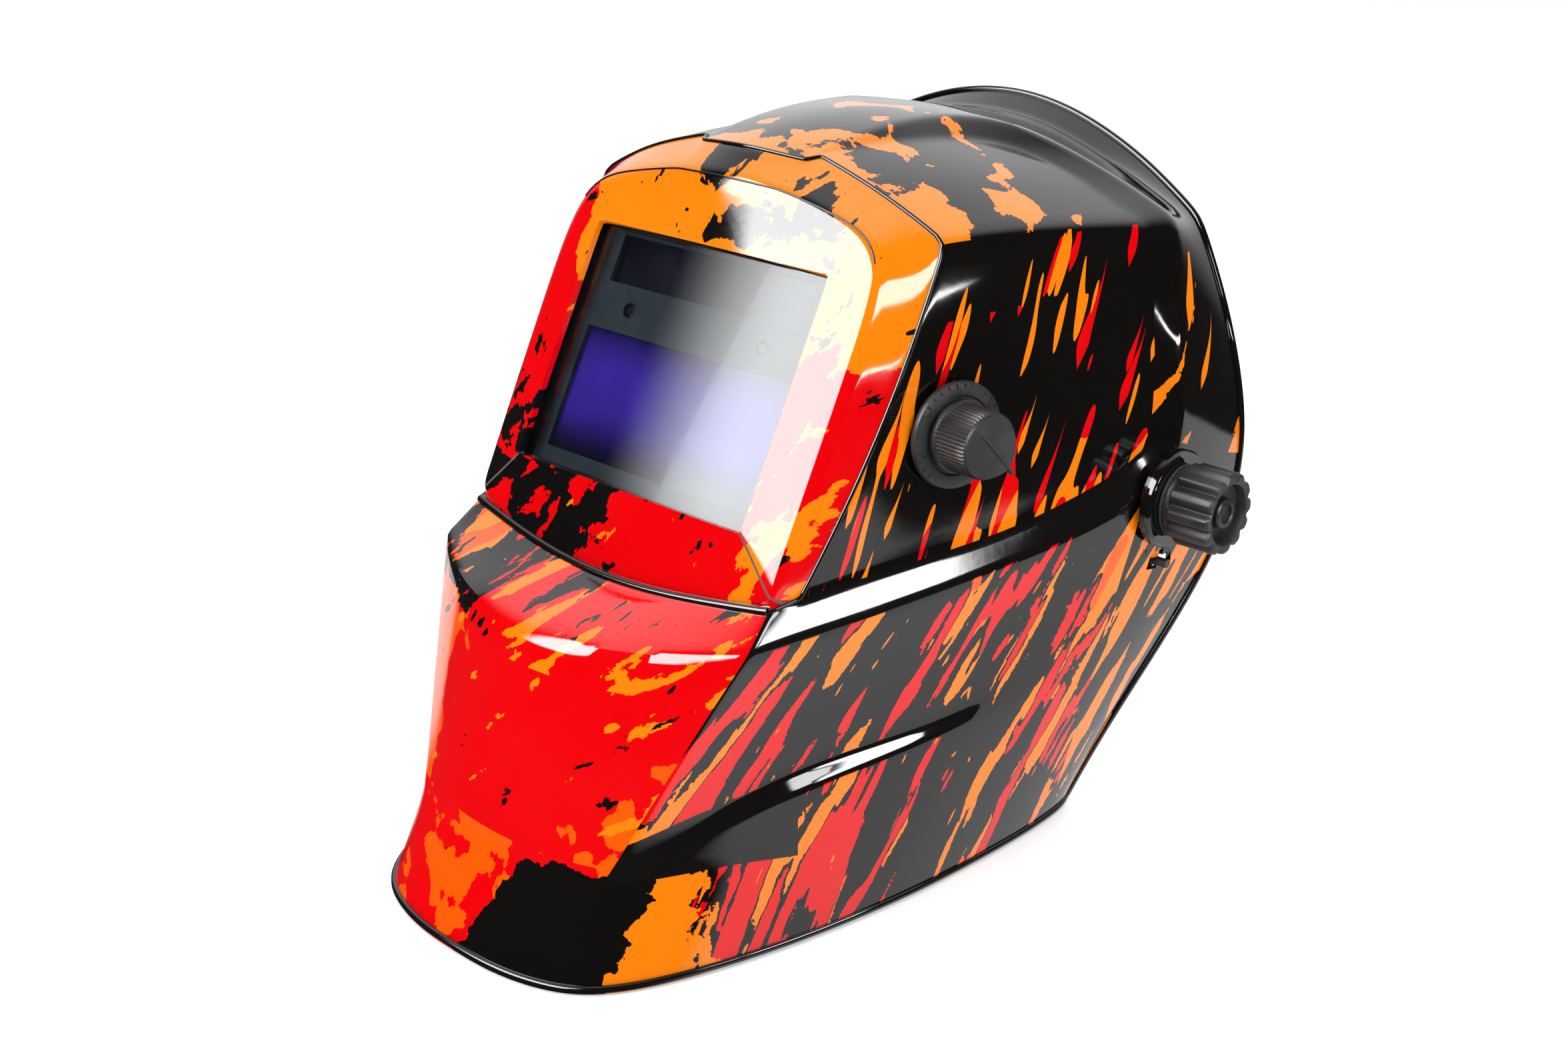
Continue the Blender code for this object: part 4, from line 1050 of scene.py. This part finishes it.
def build_shell():
    """The subdivided cage, trimmed and walled, with its beads, pivot bosses and holes."""
    shell = add_object("shell_skin", shell_cage(), shell_frame(), SKIN, 0)
    surface = shell.modifiers.new("Surface", "SUBSURF")
    surface.levels = surface.render_levels = 3
    settle(shell)

    bm = bmesh.new()
    bm.from_mesh(shell.data)
    trace = bm.edges.layers.int["trace"]
    beads = []
    for number, name, radius in ((GROOVE, "groove_bead", 0.75), (UNDER_RIDGE, "ridge_bead", 1.5),
                                 (BROW_LINE, "brow_bead", 0.35)):
        for path, closed in ordered_chains([e for e in bm.edges if e[trace] == number]):
            beads.append((name, path, radius, closed))
    everything = bm.verts[:] + bm.edges[:] + bm.faces[:]
    bmesh.ops.bisect_plane(bm, geom=everything, plane_co=(0, 0, 1.35 * MM), plane_no=(0, 0, 1),
                           clear_inner=True)
    rim = [e for e in bm.edges if e.is_boundary and not at_window(e)]
    for path, closed in ordered_chains(rim):
        beads.append(("rim_bead", path, 1.25, closed))
    bm.free()
    for number, (name, path, radius, closed) in enumerate(beads):
        made = tube_along(f"{name}_{number}", path, radius, "gloss_black", closed)
        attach(made, "helmet")

    wall = shell.modifiers.new("Wall", "SOLIDIFY")
    wall.thickness, wall.offset = SHELL_WALL * MM, -1.0
    wall.material_offset, wall.material_offset_rim = len(SKIN), 0
    settle(shell)
    shell_tool(shell, box(-150, 150, -150, 250, -40, 0), shell_frame())
    for side in (1, -1):
        place = pivot_frame(side)
        disc = spun([(12.5, 100.5), (12.5, 105.2), (17.0, 105.2), (17.0, 108.6), (16.4, 109.4)],
                    64, ring=False)
        shell_tool(shell, disc, place, "UNION")
        shell_tool(shell, rod(3.9, 95, 115), place)
        shell_tool(shell, slot_bar(side, 24.0, 14, 2.2), place)
        for turn in (-26, 0, 26):
            notch = place @ Matrix.Rotation(math.radians(turn), 4, "Z")
            at = notch @ Matrix.Translation((side * 20.6, 0, 0))
            shell_tool(shell, box(-1.4, 1.4, -1.1, 1.1, 103, 116), at)
    shell_tool(shell, rod(4.6, -12, 12), shade_frame())
    shell.data.shade_smooth()
    shell.data.set_sharp_from_angle(angle=math.radians(38))
    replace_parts(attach(shell, "helmet"), "helmet_shell")


def shell_tool(shell, bm, place, operation="DIFFERENCE"):
    """Cuts a shape out of the shell or unites it with it."""
    combine(shell, add_object("tool", bm, place, "gloss_black"), operation)


def slot_bar(side, radius, half_angle, half_width):
    """The short arc slot under the pivot, as a bent bar that goes through the shell."""
    loops = []
    inner, outer = radius - half_width, radius + half_width
    for i in range(9):
        turn = math.radians(half_angle * (i - 4) / 4)
        across, along = side * math.cos(turn), math.sin(turn)
        section = ((inner, 96), (outer, 96), (outer, 116), (inner, 116))
        loops.append([(r * across, r * along, z) for r, z in section])
    return loft(loops)


# ---------------------------------------------------------------- knobs and dial

def valley(angle, lobes):
    """0 on the broad lobes of a grip and 1 in the narrow valleys between them."""
    return (0.5 - 0.5 * math.cos(lobes * angle)) ** 2.4


def build_pivot_knob(side, label):
    """Twelve-lobed clamping knob with a cup in its face and a hub in the cup."""
    def grip(angle, radius, z):
        return radius - 2.0 * valley(angle, 12) if radius > 12.9 and z > 112.0 else radius

    profile = [(12.4, 111.2), (12.7, 111.5), (12.7, 113.0), (13.7, 113.3), (14.2, 114.0),
               (14.2, 127.4), (13.9, 128.4), (13.1, 129.0), (10.9, 129.0), (10.4, 128.7),
               (10.2, 128.0), (10.0, 125.3), (9.4, 125.0), (5.6, 125.0), (5.2, 125.4),
               (5.2, 127.2), (4.8, 127.8), (3.6, 128.1), (3.3, 127.7), (3.3, 126.7),
               (2.9, 126.5), (0.6, 126.5)]
    made = add_object(f"pivot_grip_{label}", spun(profile, 192, grip, False),
                      pivot_frame(side), "black", 30)
    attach(made, f"tension_{label}")
    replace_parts(made, f"pivot_knob_{label}")


def build_ratchet_knob():
    """Lobed grip at the back of the headband, with six spokes in its dished face."""
    def grip(angle, radius, z):
        return radius - 2.0 * valley(angle, 14) if radius > 18.0 else radius

    profile = [(3.6, 106.3), (17.6, 106.3), (18.4, 106.8), (19.6, 107.6), (20.0, 108.6),
               (20.0, 117.0), (19.5, 118.4), (18.5, 119.0), (15.2, 119.0), (14.6, 118.6),
               (14.2, 117.4), (13.6, 117.0), (7.4, 117.0), (7.0, 117.4), (6.8, 118.4),
               (6.2, 118.8), (0.6, 118.8)]
    spokes = [moved(box(7.0, 14.3, -0.7, 0.7, 116.6, 118.0),
                    Matrix.Rotation(2 * math.pi * i / 6, 4, "Z")) for i in range(6)]
    bm = joined(spun(profile, 196, grip, False), *spokes)
    made = add_object("ratchet_grip", bm, ratchet_frame(), "black", 30)
    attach(made, "ratchet")
    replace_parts(made, "ratchet_knob")


def build_shade_knob():
    """Knurled dial knob whose face rises to a ridge that ends in a pointer."""
    lean = math.radians(40)

    def ribs(angle, radius, z):
        if 5.6 < z < 18.0 and radius > 9.9:
            return radius - 0.42 * (0.5 - 0.5 * math.cos(54 * angle)) ** 0.8
        return radius

    profile = [(7.6, 3.7), (11.3, 3.7), (11.6, 3.95), (11.6, 5.0), (11.3, 5.4), (11.05, 5.8),
               (10.85, 9.8), (10.7, 13.8), (10.55, 17.2), (10.2, 17.9), (9.85, 18.1),
               (9.7, 18.15), (8.0, 18.15), (6.0, 18.15), (4.0, 18.15), (2.0, 18.15),
               (0.3, 18.15)]
    bm = spun(profile, 324, ribs, False)
    for vertex in bm.verts:
        x, y, z = vertex.co
        if z > 18.12:
            across = abs(x * math.cos(lean) + y * math.sin(lean))
            vertex.co.z += 1.5 * max(0.0, 1 - across / 9.7)
    made = add_object("shade_grip", bm, shade_frame(), "black", 28)
    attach(made, "shade")
    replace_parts(made, "shade_knob")
    outline = [(-0.55, -13.2, 17.3, 19.2), (-1.0, -11.0, 17.3, 20.0), (-1.15, -4, 17.6, 20.3),
               (-1.0, 4, 17.6, 20.2), (-0.7, 8.8, 17.6, 19.4)]
    loops = [[(x, y, low), (-x, y, low), (-x * 0.4, y, high), (x * 0.4, y, high)]
             for x, y, low, high in outline]
    pointer = add_object("shade_pointer", loft(loops),
                         shade_frame() @ Matrix.Rotation(lean, 4, "Z"), "black")
    round_edges(pointer, 0.2)
    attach(pointer, "shade")


def build_dial_plate():
    """The fixed plate behind the shade knob, with raised ticks and the numbers 9 to 13."""
    profile = [(4.4, 0.8), (16.6, 0.8), (17.0, 1.2), (17.0, 2.3), (16.6, 2.9), (15.9, 3.1),
               (13.2, 3.45), (12.6, 3.35), (12.2, 2.7), (4.4, 2.7)]
    made = add_object("dial_ring", spun(profile, 96), shade_frame(), "black")
    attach(made, "helmet")
    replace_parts(made, "shade_dial_plate")
    ticks = []
    for i in range(25):
        turn = Matrix.Rotation(math.radians(-40 + i * 11.0), 4, "Z")
        depth = 0.9 if i % 4 else 1.6
        ticks.append(moved(box(16.35 - depth, 16.3, -0.18, 0.18, 2.6, 3.5), turn))
    made = add_object("dial_ticks", joined(*ticks), shade_frame(), "satin")
    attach(made, "helmet")
    for i, number in enumerate(("9", "10", "11", "12", "13")):
        angle = math.radians(-20 + 54 * i)
        name = f"dial_number_{number}"
        curve = bpy.data.curves.new(name, "FONT")
        curve.body, curve.size, curve.extrude = number, 2.5, 0.16
        curve.align_x = curve.align_y = "CENTER"
        text = linked(name, curve)
        bpy.context.view_layer.update()
        mesh = baked(text)
        bpy.data.objects.remove(text, do_unlink=True)
        spin = Matrix.Rotation(angle, 4, "Z") @ Matrix.Translation((13.9, 0, 3.42))
        tilt = Matrix.Rotation(math.radians(8), 4, "Y") @ Matrix.Rotation(-math.pi / 2, 4, "Z")
        mesh.transform(Matrix.Scale(MM, 4) @ shade_frame() @ spin @ tilt)
        mesh.materials.clear()
        mesh.materials.append(finish_of("satin"))
        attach(linked(name, mesh), "helmet")


# ---------------------------------------------------------------- headgear

def head_object(name, bm, finish, side=1):
    """An object of the headgear, mirrored for the right side."""
    if side < 0:
        moved(bm, Matrix.Scale(-1, 4, (1, 0, 0)))
        bmesh.ops.reverse_faces(bm, faces=bm.faces)
    return add_object(name, bm, head_frame(), finish)


def band_place(degrees, side=1):
    """A place on the headband, its z pointing outwards."""
    angle = math.radians(degrees)
    spot, outer = band_point(angle), band_point(angle, -6)
    out = Vector((side * (outer.x - spot.x), outer.y - spot.y, 0)).normalized()
    return Matrix.Translation((side * spot.x, spot.y, 0)) @ pointing(out)


def build_headband():
    """Forehead band with a row of vents and the height slots by the side arms."""
    angles = [math.radians(-98 + 196 * i / 98) for i in range(99)]
    band = strip([band_point(a) for a in angles], BAND_THICKNESS,
                 lambda t: -15 - 3 * math.sin(math.pi * t),
                 lambda t: 13 + 9 * math.sin(math.pi * t))
    made = head_object("headband_moulding", band, "black")
    holes = []
    for degrees in (-86, -79, -72, -40, -30, -20, -10, 0, 10, 20, 30, 40, 72, 79, 86):
        half = 6.5 if abs(degrees) > 60 else 4.0
        hole = rod(1.6, -4, 4, 20)
        for vertex in hole.verts:
            vertex.co.y += math.copysign(half, vertex.co.y) if abs(vertex.co.y) > 0.2 else 0
        holes.append(moved(hole, band_place(degrees)))
    combine(made, head_object("tool", joined(*holes), "black"))
    for side in (1, -1):
        combine(made, head_object("tool", moved(rod(2.3, -3, 3), band_place(55, side)), "black"))
    smooth_moulding(made)
    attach(made, "headgear")
    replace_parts(made, "headband_front")


def build_crown_strap(side, label):
    """Half of the strap over the head, with its row of adjusting holes."""
    height = CROWN_HEIGHT + (2.1 if side > 0 else 0.0)

    def arc_point(degrees):
        a = math.radians(degrees)
        return Vector((CROWN_HALF_WIDTH * math.cos(a), CROWN_FOOT + height * math.sin(a)))

    path = [Vector((CROWN_HALF_WIDTH, -12)), Vector((CROWN_HALF_WIDTH, -4))]
    path += [arc_point(96 * i / 56) for i in range(57)]
    bm = strip(path, BAND_THICKNESS, lambda t: -21, lambda t: -5)
    moved(bm, Matrix.Rotation(math.radians(90), 4, "X"))
    moved(bm, Matrix.Translation((0, -26, 0)))
    strap = head_object(f"crown_band_{label}", bm, "black", side)
    holes = []
    for i in range(7):
        a = math.radians(90 - 7.5 * i)
        spot = arc_point(90 - 7.5 * i)
        out = Vector((math.cos(a) / CROWN_HALF_WIDTH, 0, math.sin(a) / (CROWN_HEIGHT + 1)))
        place = Matrix.Translation((spot.x, -13, spot.y)) @ pointing(out.normalized())
        holes.append(moved(rod(2.4 if i == 0 else 1.9, -6, 6, 20), place))
    combine(strap, head_object("tool", joined(*holes), "black", side))
    smooth_moulding(strap)
    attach(strap, "headgear")
    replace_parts(strap, f"crown_strap_{label}")


def build_rear_strap(side, label):
    """Strap from the temple to the ratchet, with a toothed end."""
    low, high = (5.9, 12.5) if side > 0 else (-12.5, -5.9)
    route = [(77.2, 12.5), (76.6, 30), (72.8, 52), (64.5, 74), (54.5, 90), (45, 97.6),
             (40, RACK_B), (34, RACK_B), (20, RACK_B), (0, RACK_B), (-14, RACK_B)]
    path = [Vector((p.x, p.y)) for p in smooth_path([(*p, 0) for p in route], 8)]
    wide = [p.x > 39.9 for p in path]

    def bottom(t):
        return -12.5 if wide[round(t * (len(path) - 1))] else low

    def top(t):
        return 12.5 if wide[round(t * (len(path) - 1))] else high

    bm = strip(path, BAND_THICKNESS, bottom, top)
    pitch = 2 * math.pi * PINION_RADIUS / PINION_TEETH
    root, tip = (6.0, 4.3) if side > 0 else (-6.0, -4.3)
    teeth = []
    for i in range(13):
        x = pitch * (i - 3.5)
        section = [(x - 0.75, root), (x + 0.75, root), (x + 0.35, tip), (x - 0.35, tip)]
        teeth.append(loft([[(a, b, u) for a, u in section]
                           for b in (RACK_B - BAND_THICKNESS / 2, RACK_B + BAND_THICKNESS / 2)]))
    made = head_object(f"rear_band_{label}", joined(bm, *teeth), "black", side)
    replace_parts(made, f"rear_strap_{label}")
    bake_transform(made)


def inflate(made, voxel, cap):
    """Swells a pad by cloth simulation, with no point moving further than the cap."""
    body = made.modifiers.new("Remesh", "REMESH")
    body.mode, body.voxel_size = "VOXEL", voxel * MM
    settle(made)
    before = [v.co.copy() for v in made.data.vertices]
    cloth = made.modifiers.new("Cloth", "CLOTH")
    cloth.settings.use_pressure = True
    cloth.settings.uniform_pressure_force = 3.0
    cloth.settings.effector_weights.gravity = 0.0
    cloth.settings.quality = 4
    cloth.point_cache.frame_start, cloth.point_cache.frame_end = 1, 20
    scene = bpy.context.scene
    for number in range(1, 21):
        scene.frame_set(number)
    graph = bpy.context.evaluated_depsgraph_get()
    after = [v.co.copy() for v in made.evaluated_get(graph).data.vertices]
    made.modifiers.clear()
    scene.frame_set(1)
    for vertex, old, new in zip(made.data.vertices, before, after):
        step = new - old
        vertex.co = old + step * min(1.0, cap * MM / max(step.length, 1e-9))
    finer = made.modifiers.new("Finer", "SUBSURF")
    finer.levels = finer.render_levels = 1
    settle(made)
    made.data.shade_smooth()
    return made


def build_sweatband():
    """Padded towelling band on the forehead, swelled between two stitched seams."""
    angles = [math.radians(-51 + 102 * i / 60) for i in range(61)]
    pad = strip([band_point(a, 4.4) for a in angles], 3.4, lambda t: -16, lambda t: 19, 0.3, 8)
    made = head_object("sweatband_pad", pad, "fabric")
    inflate(made, 1.9, 1.1)
    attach(made, "headgear")
    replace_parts(made, "sweatband")
    for name, height in (("low", -14.2), ("high", 17.2)):
        path = [head_frame() @ Vector((*band_point(a, 6.9), height)) * MM for a in angles[2:-2]]
        seam = tube_along(f"sweatband_seam_{name}", path, 0.35, "fabric")
        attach(seam, "headgear")


def build_nape_pad():
    """Small towelling pad in front of the ratchet, at the nape."""
    loops = []
    for b, inset in ((90.6, 2.2), (91.4, 0.6), (92.4, 0.0), (93.4, 0.6)):
        outline = []
        for cx, cu, start in ((22.5, 6.5, 0), (-22.5, 6.5, 90), (-22.5, -6.5, 180),
                              (22.5, -6.5, 270)):
            for i in range(6):
                a = math.radians(start + 90 * i / 5)
                reach = 5.2 - inset
                outline.append((cx + reach * math.cos(a), b, cu + reach * math.sin(a)))
        loops.append(outline)
    made = head_object("nape_cushion", loft(loops), "fabric")
    inflate(made, 1.5, 1.0)
    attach(made, "headgear")
    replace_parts(made, "nape_pad")


# ---------------------------------------------------------------- the CAD nodes that stay

NODE_FINISH = {
    "front_cover_lens": "lens", "inner_cover_lens": "lens", "lens_gasket": "rubber",
    "filter_case_front": "case", "filter_case_back": "black", "arc_sensor_left": "dot",
    "arc_sensor_right": "dot", "lcd_filter_glass": "glass", "solar_cell": "solar",
    "circuit_board": "board", "battery_cell": "steel", "battery_cover": "satin",
    "sensitivity_knob": "satin", "delay_knob": "satin", "grind_switch": "satin",
    "filter_holder": "black", "filter_latch": "satin", "shade_potentiometer": "steel",
    "potentiometer_nut": "steel", "potentiometer_shaft": "steel", "shade_lead": "rubber",
    "ratchet_housing": "satin", "ratchet_cover": "satin", "ratchet_pinion": "satin",
    "crown_pin": "satin",
}
SIDE_FINISH = {
    "friction_washer": "rubber", "pivot_bolt": "satin", "angle_stop": "satin",
    "side_arm": "satin", "arm_rivet": "steel",
}
UNROUNDED = ("lcd_filter_glass", "solar_cell", "circuit_board", "shade_lead", "ratchet_pinion")


def finish_nodes():
    """Materials and softened edges for the nodes whose CAD shape is kept."""
    for name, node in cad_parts.items():
        if node.hide_render:
            continue
        key = NODE_FINISH.get(name) or SIDE_FINISH.get(name.rsplit("_", 1)[0], "steel")
        node.data.materials.clear()
        node.data.materials.append(finish_of(key))
        if name not in UNROUNDED:
            round_edges(node, 0.35 if "lens" in name else 0.25, 2)


def main():
    build_camera()
    build_light()
    build_stage()
    build_shell()
    for side, label in ((1, "left"), (-1, "right")):
        build_pivot_knob(side, label)
        build_crown_strap(side, label)
        build_rear_strap(side, label)
    build_shade_knob()
    build_dial_plate()
    build_ratchet_knob()
    build_headband()
    build_sweatband()
    build_nape_pad()
    finish_nodes()


main()
